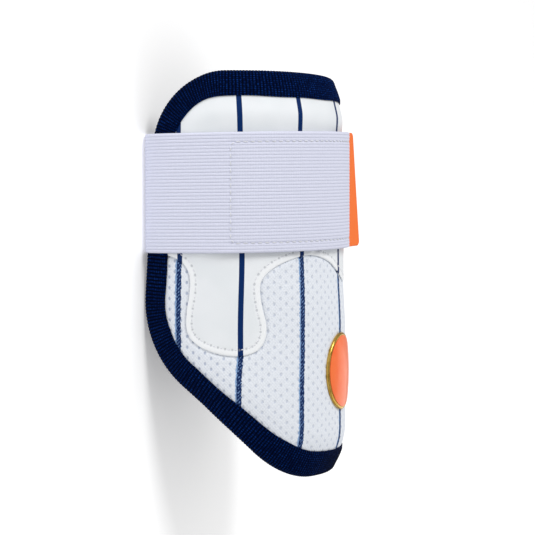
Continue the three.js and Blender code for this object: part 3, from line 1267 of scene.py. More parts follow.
@dataclass
class Pad:
    """Moulded foam with its lining laminated on, which puffs out between the tape's inner edges.

    Attributes:
        form: the form it is bent onto.
        step: distance between its points.
        edge_inset: how far inside the outline it ends.
        depth: depth of the lining under the leather's face.
        skin_depth: depth of the foam's outer face there.
        puff: how far the lining puffs out.
        puff_inset: distances in from the outline over which that begins.
    """

    form: Form
    step: float = 2.4
    edge_inset: float = 2.6
    depth: float = 10.0
    skin_depth: float = 2.4
    puff: float = 1.0
    puff_inset: tuple[float, float] = (10.0, 21.0)

    def build(self, finish: ClothFinish) -> None:
        """Model and dress the pad.

        Args:
            finish: the lining's finish.
        """
        pad = flat_sheet("pad", self.form, self.step, self.step, [(self.form.outline, self.edge_inset)])
        places = on_pattern(pad, self.form)
        inset = self.form.outline.measure(places)[0]
        lining = -self.depth - self.puff * smooth(inset, *self.puff_inset)
        pad.points = laid_flat(places, self.form, lining)
        with pad.editing():
            bpy.ops.mesh.extrude_region_move(TRANSFORM_OT_translate={"value": (0, 0, self.depth * MM)})
        places = on_pattern(pad, self.form)
        inset = self.form.outline.measure(places)[0]
        outer = -self.skin_depth - self.form.crown(inset)
        pad.points = laid_flat(places, self.form, np.where(pad.picked, outer, pad.points[:, 2]))
        pad.note("pattern", places)
        bent(pad, self.form)
        pad.face_out()
        obj = pad.dress(finish.material(), Slot.LINING)
        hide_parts("foam_shell")


@dataclass
class MeshPanel:
    """Air-mesh panel over the lower half, dimpled at its holes, with its upper edge under the leather.

    Attributes:
        form: the form it is bent onto.
        seam: the leather's scalloped edge.
        edge_inset: how far inside the outline it ends, under the tape.
        under_leather: how far it reaches under the leather.
        depth: depth of its face under the leather's.
        tuck: how much deeper it lies under the leather.
        tuck_between: distances past the seam between which it goes down.
        puff: how far it puffs out.
        puff_inset: distances in from the outline over which that begins.
        puff_below: distance below the seam over which it begins.
        thickness: thickness of the cloth.
        dimple: depth of the dimple at a hole.
        dimple_radius: radius of the dimple.
    """

    form: Form
    seam: Border
    edge_inset: float = 3.2
    under_leather: float = 5.0
    depth: float = 0.2
    tuck: float = 0.95
    tuck_between: tuple[float, float] = (-1.8, 0.2)
    puff: float = 0.9
    puff_inset: tuple[float, float] = (10.0, 26.0)
    puff_below: float = 26.0
    thickness: float = 0.5
    dimple: float = 0.22
    dimple_radius: float = 0.85

    def dimples(self, places: Array, finish: MeshFinish) -> Array:
        """Dimple the cloth at its holes.

        Args:
            places: rows of s and h.
            finish: the finish, which has the holes' layout.

        Returns:
            The depth at each place.
        """
        nearest = np.full(len(places), np.inf)
        for offset in (0, 1):
            shift = np.array([offset * finish.column, offset * finish.row / 2])
            period = np.array([2 * finish.column, finish.row])
            away = np.abs((places + shift + period / 2) % period - period / 2)
            nearest = np.minimum(nearest, np.hypot(*away.T))
        return self.dimple * np.exp(-((nearest / self.dimple_radius) ** 2))

    def build(self, finish: MeshFinish) -> None:
        """Model and dress the panel.

        Args:
            finish: the air mesh's finish, whose threads give the spacing of the panel's points.
        """
        below = Border(self.seam.points[::-1], closed=False)
        cuts = [(self.form.outline, self.edge_inset), (below, -self.under_leather)]
        panel = flat_sheet("mesh_panel_cloth", self.form, finish.thread_s, finish.thread_h, cuts)
        size = panel.flat_size()
        places = on_pattern(panel, self.form)
        inset = self.form.outline.measure(places)[0]
        past_seam = self.seam.measure(places)[0]
        puff = self.puff * smooth(inset, *self.puff_inset) * smooth(-past_seam, 0, self.puff_below)
        tuck = self.tuck * smooth(past_seam, *self.tuck_between)
        height = puff - tuck - self.depth - self.form.crown(inset) - self.dimples(places, finish)
        panel.points = laid_flat(places, self.form, height)
        panel.note("pattern", places)
        panel.face_up()
        bent(panel, self.form)
        panel.thicken(self.thickness)
        obj = panel.dress(finish.material(), Slot.AIR_MESH, angle=60)
        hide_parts("mesh_panel")


@dataclass
class LeatherPanel:
    """Leather panel over the upper half, with a turned and stitched edge along the scalloped seam.

    Attributes:
        form: the form it is bent onto.
        seam: its scalloped edge.
        step: distance between its points.
        edge_inset: how far inside the outline it ends, under the tape.
        thickness: thickness of the leather.
        lip: how far the turned edge rolls down at the seam.
        lip_width: width of that roll.
        lip_curve: power that gives the roll its curve.
        welt: how far the turned edge stands out.
        welt_between: distances past the stitches between which it ends.
        groove: depth of the groove that the stitches draw in.
        groove_width: width of that groove.
        crease: depth of the creases at the arches.
        crease_at: s and h of their middle.
        crease_reach: how far they reach, round the U and along the guard.
        crease_waves: how fast they follow each other, along the seam and in from it.
        puff: how far the leather stands out between the strap and the upper tape.
        puff_between: heights between which it does.
        puff_inset: distances in from the outline over which that begins.
        stitch_lift: height of the stitches over the leather.
        stitch_share: share of its pitch that a stitch covers.
        tape_cover: inset up to which the tape hides the stitches.
        rings: distances in from the seam at which the turned edge has a row of points.
    """

    form: Form
    seam: Border
    step: float = 1.3
    edge_inset: float = 3.2
    thickness: float = 1.2
    lip: float = 0.45
    lip_width: float = 0.7
    lip_curve: float = 2.2
    welt: float = 0.1
    welt_between: tuple[float, float] = (-0.6, 1.4)
    groove: float = 0.2
    groove_width: float = 0.65
    crease: float = 0.35
    crease_at: tuple[float, float] = (27.0, 122.8)
    crease_reach: tuple[float, float] = (13.0, 4.0)
    crease_waves: tuple[float, float] = (0.9, 0.5)
    puff: float = 0.7
    puff_between: tuple[float, float] = (184.0, 206.0)
    puff_inset: tuple[float, float] = (13.0, 24.0)
    stitch_lift: float = -0.15
    stitch_share: float = 0.62
    tape_cover: float = 11.0
    rings: tuple[float, ...] = (5.4, 4.7, 4.2, 3.8, 3.3, 2.8, 2.4, 1.8, 1.2, 0.75, 0.4, 0.15, 0.0)

    def height(self, places: Array, finish: LeatherFinish) -> Array:
        """Shape the face, with its turned edge, stitched groove and creases.

        Args:
            places: rows of s and h.
            finish: the finish, which has the stitches' layout.

        Returns:
            The height at each place.
        """
        inset = self.form.outline.measure(places)[0]
        inside, _, along = self.seam.measure(places)
        past_stitch = inside - finish.stitch_inset
        lip = self.lip * np.clip(1 - inside / self.lip_width, 0, 1) ** self.lip_curve
        welt = self.welt * (1 - smooth(past_stitch, *self.welt_between))
        groove = self.groove * np.exp(-((past_stitch / self.groove_width) ** 2))
        from_arch = (np.abs(places) - self.crease_at) / self.crease_reach
        waves = np.sin(np.column_stack([along, inside]) @ self.crease_waves)
        crease = self.crease * np.exp(-(from_arch ** 2).sum(axis=1)) * waves
        low, high = self.puff_between
        share = np.clip((places[:, 1] - low) / (high - low), 0, 1)
        puff = self.puff * np.sin(math.pi * share) ** 2 * smooth(inset, *self.puff_inset)
        return puff + welt - lip - groove + crease - self.form.crown(inset)

    def turned_edge(self, panel: Workpiece) -> None:
        """Draw the panel's cut edge out to the seam, ring by ring.

        Args:
            panel: the flat panel.
        """
        for ring in self.rings:
            inside = self.seam.measure(on_pattern(panel, self.form))[0]
            rim = np.zeros(len(inside), dtype=bool)
            rim[np.unique(panel.rim())] = True
            with panel.editing(rim & (inside < self.rings[0] + self.step)):
                bpy.ops.mesh.extrude_edges_move(TRANSFORM_OT_translate={"value": (0, 0, 0)})
            places = on_pattern(panel, self.form)
            inside, normal, _ = self.seam.measure(places)
            moved = places - (inside - ring)[:, None] * normal
            places[panel.picked] = moved[panel.picked]
            panel.points = laid_flat(places, self.form, np.zeros(len(places)))

    def build(self, finish: LeatherFinish, thread: ClothFinish) -> None:
        """Model and dress the panel and its stitches.

        Args:
            finish: the leather's finish.
            thread: the stitches' finish.
        """
        start = self.rings[0] + self.step / 2
        cuts = [(self.form.outline, self.edge_inset), (self.seam, start)]
        panel = flat_sheet("leather_panel", self.form, self.step, self.step, cuts)
        self.turned_edge(panel)
        size = panel.flat_size()
        panel.face_up()
        places = on_pattern(panel, self.form)
        panel.points = laid_flat(places, self.form, self.height(places, finish))
        inside, _, along = self.seam.measure(places)
        panel.note("pattern", places)
        panel.note("seam", np.column_stack([along, inside]))
        bent(panel, self.form)
        panel.thicken(self.thickness)
        obj = panel.dress(finish.material(), Slot.LEATHER)
        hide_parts("upper_panel")
        self.stitch(finish, thread)

    def stitch(self, finish: LeatherFinish, thread: ClothFinish) -> None:
        """Sew a row of stitches along the seam, from one tape to the other.

        Args:
            finish: the leather's finish, which has the stitches' layout.
            thread: the stitches' finish.
        """
        pitch = finish.stitch_pitch
        place, normal = self.seam.at(np.arange(pitch / 2, self.seam.along[-1], pitch))
        middle = place + finish.stitch_inset * normal
        run = np.column_stack([normal[:, 1], -normal[:, 0]])
        shown = self.form.outline.measure(middle)[0] > self.tape_cover
        middle, run = middle[shown], run[shown]
        half = self.stitch_share * pitch / 2
        height = self.height(middle, finish)
        starts, ends = (self.form.bend(*(middle + way * half * run).T, height) for way in (-1, 1))
        outward = self.form.bend(*middle.T, height + 1) - self.form.bend(*middle.T, height)
        stitches = StitchRow("leather_stitches", starts, ends, outward, lift=self.stitch_lift)
        stitches.build(thread, Slot.LEATHER)


@dataclass
class StitchRow:
    """Stitches of thread, each a short plump capsule lying on its cloth.

    Attributes:
        name: name of the piece.
        starts: where each stitch comes up.
        ends: where each stitch goes down.
        normals: the way out of the cloth at each stitch.
        radius: radius of the thread.
        lift: height of the thread over the cloth.
        arch: how much higher a stitch's middle lies than its ends, in radii.
        settle: how much lower the whole stitch lies for that, in radii.
        segments: number of sides of the thread.
        rings: number of steps along a stitch.
    """

    name: str
    starts: Array
    ends: Array
    normals: Array
    radius: float = 0.36
    lift: float = 0.08
    arch: float = 0.5
    settle: float = 0.25
    segments: int = 6
    rings: int = 4

    def build(self, finish: ClothFinish, slot: Slot) -> None:
        """Model one stitch, copy it along the row and dress them all.

        Args:
            finish: the thread's finish.
            slot: the slot of the cloth that is sewn.
        """
        add_sphere = bpy.ops.mesh.primitive_uv_sphere_add
        row = Workpiece(self.name, add_sphere, segments=self.segments, ring_count=self.rings, radius=MM)
        each = len(row.mesh.vertices)
        row.modify(
            "ARRAY", count=len(self.starts), use_relative_offset=False, use_constant_offset=True,
            constant_offset_displace=(1, 0, 0),
        )
        side, top, length = row.points[:each].T[:, None, :, None]
        along = (self.ends - self.starts) / 2
        up = unit(self.normals)
        aside = unit(np.cross(along, up))
        middle = (self.starts + self.ends) / 2 + self.lift * up
        rise = self.radius * (top + self.arch * (1 - length ** 2) - self.settle)
        points = middle[:, None] + along[:, None] * length
        points = points + aside[:, None] * (self.radius * side) + up[:, None] * rise
        row.points = points.reshape(-1, 3)
        row.note("pattern", row.points)
        row.face_out()
        row.dress(finish.material(), slot, angle=80)


@dataclass
class EdgeBinding:
    """Ribbed tape folded over the pad's edge all round.

    Attributes:
        form: the form it is bent onto.
        leaf: width of each leaf, in from the outline.
        bend: depth of the fold.
        thickness: thickness of the tape.
        lift: height of the tape's face over the leather.
        under: depth of the tape's face under the lining.
        edge_dip: how far the outer leaf's edge is sewn down.
        edge_round: width over which it goes down.
        rib: distance between ribs along the tape.
        relief: height of a rib.
        rib_curve: power that makes a rib's top broad.
        selvage: width of the smooth edge.
        waver: how far the edge strays.
        waver_reach: how far in from the edge that is felt.
        waver_turns: how often its two waves come round the guard.
        waver_shift: how far apart the two waves start, in radians.
        phases: places across one rib at which the tape has points.
        columns: number of points across the tape.
        crowd: how much closer these lie round the fold.
        section_steps: number of steps in which a leaf or the fold is drawn.
        section_step: distance between the points of the finished section.
    """

    form: Form
    leaf: float = 14.2
    bend: float = 3.5
    thickness: float = 1.2
    lift: float = 1.2
    under: float = 11.7
    edge_dip: float = 0.55
    edge_round: float = 0.9
    rib: float = 1.9
    relief: float = 0.3
    rib_curve: float = 0.7
    selvage: float = 2.1
    waver: float = 0.3
    waver_reach: float = 6.0
    waver_turns: tuple[int, int] = (17, 7)
    waver_shift: float = 1.0
    phases: tuple[float, ...] = (0.0, 0.16, 0.38, 0.62, 0.84)
    columns: int = 21
    crowd: float = 0.32
    section_steps: int = 40
    section_step: float = 0.2

    @cached_property
    def section(self) -> Array:
        """The tape's face in section, as rows of inset and height, from the leather to the lining."""
        inset = np.linspace(self.leaf, self.bend, self.section_steps)
        upper = np.column_stack([inset, self.lift - self.form.crown(inset)])
        upper[:, 1] -= self.edge_dip * np.clip(1 - (self.leaf - inset) / self.edge_round, 0, 1) ** 2
        middle = (upper[-1, 1] - self.under) / 2
        rise = (upper[-1, 1] + self.under) / 2
        angle = np.linspace(0, math.pi, self.section_steps)[1:]
        fold = np.column_stack([self.bend * (1 - np.sin(angle)), middle + rise * np.cos(angle)])
        lower = np.column_stack([inset[::-1], np.full(len(inset), -self.under)])[1:]
        return resampled(np.vstack([upper, fold, lower]), self.section_step)

    @cached_property
    def widths(self) -> Array:
        """Width of the tape up to each point of its section."""
        return lengths_along(self.section)

    def places(self, along: Array, across: Array, phase: Array) -> Array:
        """Fold the tape over the edge.

        Args:
            along: lengths along the tape.
            across: widths across it, from its outer edge.
            phase: places across a rib, from 0 to 1.

        Returns:
            Rows of x, y and z in the frame.
        """
        outline = self.form.outline
        turn = np.gradient(self.section, axis=0)
        outward = unit(np.column_stack([turn[:, 1], -turn[:, 0]]))
        inset, height = sampled(across, self.widths, self.section).T
        out_inset, out_height = sampled(across, self.widths, outward).T
        from_edge = np.minimum(across, self.widths[-1] - across)
        crest = np.sin(math.pi * phase) ** self.rib_curve
        lift = self.relief * (crest - 1) * smooth(from_edge, self.selvage / 2, self.selvage)
        first, second = (turns * math.tau * along / outline.along[-1] for turns in self.waver_turns)
        waver = self.waver * np.sin(first) * np.cos(second + self.waver_shift)
        waver *= 1 - smooth(from_edge, 0, self.waver_reach)
        inset = inset + lift * out_inset + waver
        place, normal = outline.at(along)
        return self.form.bend(*(place + inset[:, None] * normal).T, height + lift * out_height)

    def build(self, finish: BindingFinish) -> None:
        """Model and dress the tape.

        Args:
            finish: the tape's finish.
        """
        length, width = self.form.outline.along[-1], self.widths[-1]
        ribs = round(length / self.rib)
        each = len(self.phases)
        steps = ribs * each
        tape, grid = unit_grid("binding_tape", steps, self.columns - 1)
        station = np.rint(grid[:, 0] * steps).astype(int)
        phase = np.array(self.phases)[station % each]
        along = (station // each + phase) * length / ribs
        across = (grid[:, 1] + self.crowd * np.sin(math.tau * grid[:, 1]) / math.tau) * width
        tape.note("pattern", np.column_stack([along, across]))
        tape.points = self.places(along, across, phase)
        tape.join_doubles()
        self.face_outwards(tape)
        tape.thicken(self.thickness)
        obj = tape.dress(finish.material(), Slot.BINDING, angle=60)
        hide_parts("edge_binding")
        width * MM
        length * MM

    def face_outwards(self, tape: Workpiece) -> None:
        """Turn the open tape's faces away from the pad that it wraps.

        Args:
            tape: the folded tape.
        """
        top = max(tape.mesh.polygons, key=lambda face: face.center.z)
        if top.normal.z < 0:
            with tape.editing():
                bpy.ops.mesh.flip_normals()


@dataclass
class Strap:
    """Wide ribbed elastic from its free end over the near wing and round the back to its sewn end.

    Attributes:
        form: the form that it is wrapped round.
        width: width of the elastic.
        thickness: thickness of the elastic.
        low: height of its lower edge on the nose line.
        tilt: how far it climbs from the near side to the far side.
        end: where its free end lies, round the U.
        sewn_end: where its sewn end lies.
        over_patch: height of its inner face over the leather where the hook patch lies under it.
        on_wing: height of its inner face on the wings.
        step_down: lengths round the U between which it comes down from the patch.
        knee: height over the floor below which it leans in over the tape.
        knee_radius: radius of the bend there.
        lean: how far it leans in, down to the floor.
        corner_radius: radius of the bend onto the floor.
        wing_steps: number of steps in which the near wing and the far wing are drawn.
        station: distance between points along it.
        ribs: number of ribs across it.
        relief: height of a rib.
        rib_curve: power that makes a rib's top broad.
        phases: places across one rib at which it has points.
        edge_dip: how far its edges go down.
        edge_round: width over which they do.
        patch: where the hook patch starts and ends, round the U.
        patch_margin: distance of the patch from the strap's edges.
        patch_faces: heights of the patch's faces over the leather.
        patch_grid: number of faces across the patch and along it.
        patch_bevel: width of the patch's rounded edges.
        stitch_margin: distance of the stitched boxes from the strap's edges.
        stitch_pitch: distance between stitches.
        stitch_share: share of its pitch that a stitch covers.
        stitch_depth: depth of the thread under the strap's face.
        stitch_start: distance of the patch's box from the free end.
        stitch_column: where that box ends, round the U.
        row_dent: depth and width of the groove that a row along the strap draws in.
        column_dent: depth and width of the groove of the row across it.
        sewn_margin: distance of the sewn end's box from that end.
        sewn_length: length of that box.
    """

    form: Form
    width: float = 63.5
    thickness: float = 1.2
    low: float = 123.6
    tilt: float = 0.045
    end: float = -14.0
    sewn_end: float = -84.0
    over_patch: float = 2.0
    on_wing: float = 0.9
    step_down: tuple[float, float] = (76.0, 90.0)
    knee: float = 17.0
    knee_radius: float = 30.0
    lean: float = 3.2
    corner_radius: float = 8.0
    wing_steps: tuple[int, int] = (120, 20)
    station: float = 2.0
    ribs: int = 36
    relief: float = 0.2
    rib_curve: float = 0.5
    phases: tuple[float, ...] = (0.0, 0.14, 0.38, 0.62, 0.86)
    edge_dip: float = 0.5
    edge_round: float = 1.2
    patch: tuple[float, float] = (-5.0, 75.0)
    patch_margin: float = 4.0
    patch_faces: tuple[float, float] = (0.4, 1.7)
    patch_grid: tuple[int, int] = (24, 60)
    patch_bevel: float = 0.5
    stitch_margin: float = 5.2
    stitch_pitch: float = 3.8
    stitch_share: float = 0.72
    stitch_depth: float = 0.22
    stitch_start: float = 2.5
    stitch_column: float = 75.0
    row_dent: tuple[float, float] = (0.25, 0.9)
    column_dent: tuple[float, float] = (0.3, 1.6)
    sewn_margin: float = 4.0
    sewn_length: float = 16.0

    @cached_property
    def route(self) -> Array:
        """The middle line in section, as rows of y and z, from the free end to the sewn end."""
        half = self.thickness / 2
        wing = self.form.arc_half
        near_steps, far_steps = self.wing_steps
        near_s = np.linspace(self.end, wing, near_steps)
        drop = smooth(near_s, *self.step_down)
        under = self.over_patch + drop * (self.on_wing - self.over_patch)
        near = np.column_stack(self.form.section(near_s, half + under))
        far_s = np.linspace(-wing, self.sewn_end, far_steps)
        far = np.column_stack(self.form.section(far_s, np.full(far_steps, half + self.on_wing)))
        knee = np.array([near[-1, 0], self.knee])
        corner = np.array([near[-1, 0] + self.lean, half])
        mirror = np.array([-1, 1])
        turns = [
            rounded_corner(near[-1], knee, corner, self.knee_radius),
            rounded_corner(knee, corner, corner * mirror, self.corner_radius),
            rounded_corner(corner, corner * mirror, knee * mirror, self.corner_radius),
            rounded_corner(corner * mirror, knee * mirror, far[0], self.knee_radius),
        ]
        return resampled(np.vstack([near, *turns, far]), self.station)

    @cached_property
    def stations(self) -> Array:
        """Length along the route at each of its points."""
        return lengths_along(self.route)

    def along(self, s: float) -> float:
        """Return the length along the route at which it passes a place round the U."""
        target = np.column_stack(self.form.section(np.array([s]), np.array([self.on_wing])))
        return float(self.stations[np.linalg.norm(self.route - target, axis=1).argmin()])

    def laid(self, across: Array, y: Array, z: Array) -> Array:
        """Return the frame's points at distances up from the lower edge and places in section."""
        return np.column_stack([self.form.length / 2 - (self.low + across + self.tilt * y), y, z])

    def place(self, along: Array, across: Array, out: Array) -> Array:
        """Place points on the strap.

        Args:
            along: lengths along the route.
            across: distances up from the lower edge.
            out: heights over the middle line.

        Returns:
            Rows of x, y and z in the frame.
        """
        run = np.gradient(self.route, self.stations, axis=0)
        outward = unit(np.column_stack([run[:, 1], -run[:, 0]]))
        y, z = sampled(along, self.stations, self.route).T
        out_y, out_z = sampled(along, self.stations, outward).T
        return self.laid(across, y + out * out_y, z + out * out_z)

    def dents(self, along: Array, across: Array) -> Array:
        """Draw in the elastic under the stitches of the patch's box.

        Args:
            along: lengths along the route.
            across: distances up from the lower edge.

        Returns:
            The depth at each place.
        """
        box_end = self.along(self.stitch_column)
        depth, width = self.column_dent
        dent = depth * np.exp(-(((along - box_end) / width) ** 2)) * smooth(across, 0, self.stitch_margin)
        depth, width = self.row_dent
        for row in (self.stitch_margin, self.width - self.stitch_margin):
            dent += depth * np.exp(-(((across - row) / width) ** 2)) * (along < box_end)
        return dent

    def build(self, finish: ElasticFinish) -> None:
        """Model and dress the elastic.

        Args:
            finish: the elastic's finish.
        """
        each = len(self.phases)
        columns = self.ribs * each
        steps = len(self.stations) - 1
        band, grid = unit_grid("strap_elastic", columns, steps)
        column = np.rint((1 - grid[:, 0]) * columns).astype(int)
        phase = np.array(self.phases)[column % each]
        across = (column // each + phase) * self.width / self.ribs
        along = np.interp((1 - grid[:, 1]) * steps, np.arange(steps + 1), self.stations)
        crest = np.sin(math.pi * phase) ** self.rib_curve
        from_edge = np.minimum(across, self.width - across)
        dip = self.edge_dip * np.clip(1 - from_edge / self.edge_round, 0, 1) ** 2
        out = self.thickness / 2 + self.relief * (crest - 1) - self.dents(along, across) - dip
        band.note("pattern", np.column_stack([along, across]))
        band.points = self.place(along, across, out)
        band.thicken(self.thickness - self.relief)
        obj = band.dress(finish.material(), Slot.ELASTIC, angle=60)
        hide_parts("strap")
        flat = (self.width * MM, self.stations[-1] * MM)

    def build_patch(self, finish: ClothFinish) -> None:
        """Model and dress the hook patch under the free end.

        Args:
            finish: the hook tape's finish.
        """
        low, high = self.patch_faces
        start, end = self.patch
        width = self.width - 2 * self.patch_margin
        patch, grid = unit_grid("hook_patch_tape", *self.patch_grid)
        s = start + (1 - grid[:, 1]) * (end - start)
        across = self.patch_margin + (1 - grid[:, 0]) * width
        patch.note("pattern", np.column_stack([s, across]))
        patch.points = self.laid(across, *self.form.section(s, np.full(len(s), high)))
        patch.thicken(high - low)
        patch.modify("BEVEL", width=self.patch_bevel * MM, segments=2, limit_method="ANGLE")
        obj = patch.dress(finish.material(), Slot.HOOK_TAPE)
        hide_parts("hook_patch")
        width * MM
        (end - start) * MM

    def sew(self, name: str, path: Sequence[tuple[float, float]], thread: ClothFinish) -> None:
        """Sew a row of stitches on the strap.

        Args:
            name: name of the row.
            path: the row's corners, as lengths along the route and distances up from the lower edge.
            thread: the stitches' finish.
        """
        line = resampled(np.array(path), self.stitch_pitch)
        middle = (line[1:] + line[:-1]) / 2
        run = (line[1:] - line[:-1]) * self.stitch_share / 2
        out = np.full(len(middle), self.thickness / 2 - self.stitch_depth)
        starts, ends = (self.place(*(middle + way * run).T, out) for way in (-1, 1))
        normals = self.place(*middle.T, out + 1) - self.place(*middle.T, out)
        StitchRow(name, starts, ends, normals).build(thread, Slot.ELASTIC)

    def stitch(self, thread: ClothFinish) -> None:
        """Sew the box over the hook patch and the box at the sewn end.

        Args:
            thread: the stitches' finish.
        """
        low, high = self.stitch_margin, self.width - self.stitch_margin
        start, end = self.stitch_start, self.along(self.stitch_column)
        self.sew("patch_box_stitches", [(start, low), (end, low), (end, high), (start, high)], thread)
        end = self.stations[-1] - self.sewn_margin
        start = end - self.sewn_length
        box = [(start, low), (end, low), (end, high), (start, high), (start, low)]
        self.sew("sewn_end_stitches", box, thread)


@dataclass
class PullTab:
    """Soft tab sewn under the strap's free end, open at its lower corner.

    Attributes:
        form: the form that the strap is wrapped round.
        strap: the strap.
        root: where the tab begins under the strap, round the U.
        length: length of its free part.
        low: height of its inner face over the leather.
        thickness: thickness of the folded tab.
        open_top: angle at which its upper edge stands off.
        open_low: angle at which its lower edge stands off.
        corner_radius: radius of its corners.
        curl: how far its end curls up.
        bevel: width of its rounded edges.
        bevel_angle: least angle of an edge that is rounded.
        columns: number of faces across it.
        rows: number of faces along it.
    """

    form: Form
    strap: Strap
    root: float = -5.6
    length: float = 20.0
    low: float = 0.4
    thickness: float = 1.4
    open_top: float = math.radians(4)
    open_low: float = math.radians(14.5)
    corner_radius: float = 2.5
    curl: float = 0.6
    bevel: float = 0.7
    bevel_angle: float = math.radians(50)
    columns: int = 34
    rows: int = 18

    def build(self, finish: ClothFinish) -> None:
        """Model and dress the tab.

        Args:
            finish: the tab's finish.
        """
        width = self.strap.width
        sewn = self.root - self.strap.end
        tab, grid = unit_grid("pull_tab_cloth", self.columns, self.rows)
        across = (1 - grid[:, 0]) * width
        short = np.clip(self.corner_radius - np.minimum(across, width - across), 0, None)
        reach = self.length - self.corner_radius + np.sqrt(self.corner_radius ** 2 - short ** 2)
        along = grid[:, 1] * (sewn + reach)
        free = np.maximum(along - sewn, 0)
        s = self.root - np.minimum(along, sewn)
        y, z = self.form.section(s, np.full(len(s), self.low + self.thickness))
        turn = -self.strap.end / self.form.nose_radius
        opening = self.open_low + (self.open_top - self.open_low) * across / width
        rise = np.tan(opening) * free + self.curl * (free / self.length) ** 2
        y = y + free * math.cos(turn) + rise * math.sin(turn)
        z = z - free * math.sin(turn) + rise * math.cos(turn)
        tab.note("pattern", np.column_stack([along, across]))
        tab.points = self.strap.laid(across, y, z)
        tab.thicken(self.thickness)
        tab.modify(
            "BEVEL", width=self.bevel * MM, segments=3, limit_method="ANGLE", angle_limit=self.bevel_angle
        )
        obj = tab.dress(finish.material(), Slot.PULL_TAB)
        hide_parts("pull_tab")
        flat = (width * MM, (sewn + self.length) * MM)


@dataclass
class Badge:
    """Plain oval badge on the nose line: a metal rim round domed enamel.

    Attributes:
        form: the form that it lies on.
        h: height of its middle.
        half_width: half its size round the U.
        half_height: half its size along the guard.
        rim: width of the rim.
        rim_foot: height of the rim's foot over the leather.
        rim_shoulder: height at which the rim is widest.
        rim_top: height of the rim's top.
        tube: the rim's radius on the ring of radius 1 that it is drawn from.
        dome: how far the enamel rises in its middle.
        dome_base: height of its edge.
        dome_inset: distance of its edge from the badge's, in widths of the rim.
        dome_depth: thickness of the enamel.
        dome_reach: share of its radius that its rings take up.
        sides: number of sides round the badge.
        rim_sides: number of sides of the rim in section.
        rings: number of rings in the enamel.
    """

    form: Form
    h: float = 56.8
    half_width: float = 17.0
    half_height: float = 21.0
    rim: float = 2.3
    rim_foot: float = -0.5
    rim_shoulder: float = 1.5
    rim_top: float = 2.4
    tube: float = 0.25
    dome: float = 1.1
    dome_base: float = 1.0
    dome_inset: float = 0.75
    dome_depth: float = 1.6
    dome_reach: float = 0.95
    sides: int = 96
    rim_sides: int = 14
    rings: int = 8

    def build_rim(self, finish: GlossFinish) -> None:
        """Model and dress the metal rim.

        Args:
            finish: the metal's finish.
        """
        rim = Workpiece(
            "badge_ring", torus_without_map, major_segments=self.sides, minor_segments=self.rim_sides,
            major_radius=1, minor_radius=self.tube,
        )
        points = rim.points * MM
        angle = np.arctan2(points[:, 1], points[:, 0])
        aside = (np.hypot(points[:, 0], points[:, 1]) - 1) / self.tube
        share = points[:, 2] / self.tube
        middle = np.array([self.half_width, self.half_height]) - self.rim / 2
        ray = np.column_stack([np.cos(angle), np.sin(angle)])
        place = middle * ray + unit(ray / middle) * (aside * self.rim / 2)[:, None]
        above, below = self.rim_top - self.rim_shoulder, self.rim_shoulder - self.rim_foot
        height = self.rim_shoulder + share * np.where(share > 0, above, below)
        rim.points = self.form.bend(-place[:, 0], self.h - place[:, 1], height)
        rim.face_out()
        obj = rim.dress(finish.material(), Slot.GOLD, angle=70)
        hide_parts("badge_rim")

    def build_enamel(self, finish: GlossFinish) -> None:
        """Model and dress the domed enamel.

        Args:
            finish: the enamel's finish.
        """
        add_circle = bpy.ops.mesh.primitive_circle_add
        dome = Workpiece("badge_dome", add_circle, vertices=self.sides, radius=1, fill_type="NGON")
        with dome.editing():
            for _ in range(self.rings):
                bpy.ops.mesh.inset(thickness=self.dome_reach / self.rings)
        points = dome.points * MM
        share = np.hypot(points[:, 0], points[:, 1])
        inset = self.dome_inset * self.rim
        s = -points[:, 0] * (self.half_width - inset)
        h = self.h - points[:, 1] * (self.half_height - inset)
        dome.points = self.form.bend(s, h, self.dome_base + self.dome * (1 - share ** 2))
        dome.thicken(self.dome_depth)
        obj = dome.dress(finish.material(), Slot.ENAMEL)
        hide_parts("badge_enamel")


def torus_without_map(calc_uvs: bool, **settings: float) -> None:
    """Add a torus; its operator names the texture map's switch in its own way."""
    bpy.ops.mesh.primitive_torus_add(generate_uvs=calc_uvs, **settings)


class Lamp(NamedTuple):
    """A soft area light.

    Attributes:
        name: name of the lamp.
        place: its place, in metres.
        size: its width, in metres.
        power: its power, in watts.
    """

    name: str
    place: tuple[float, float, float]
    size: float
    power: float


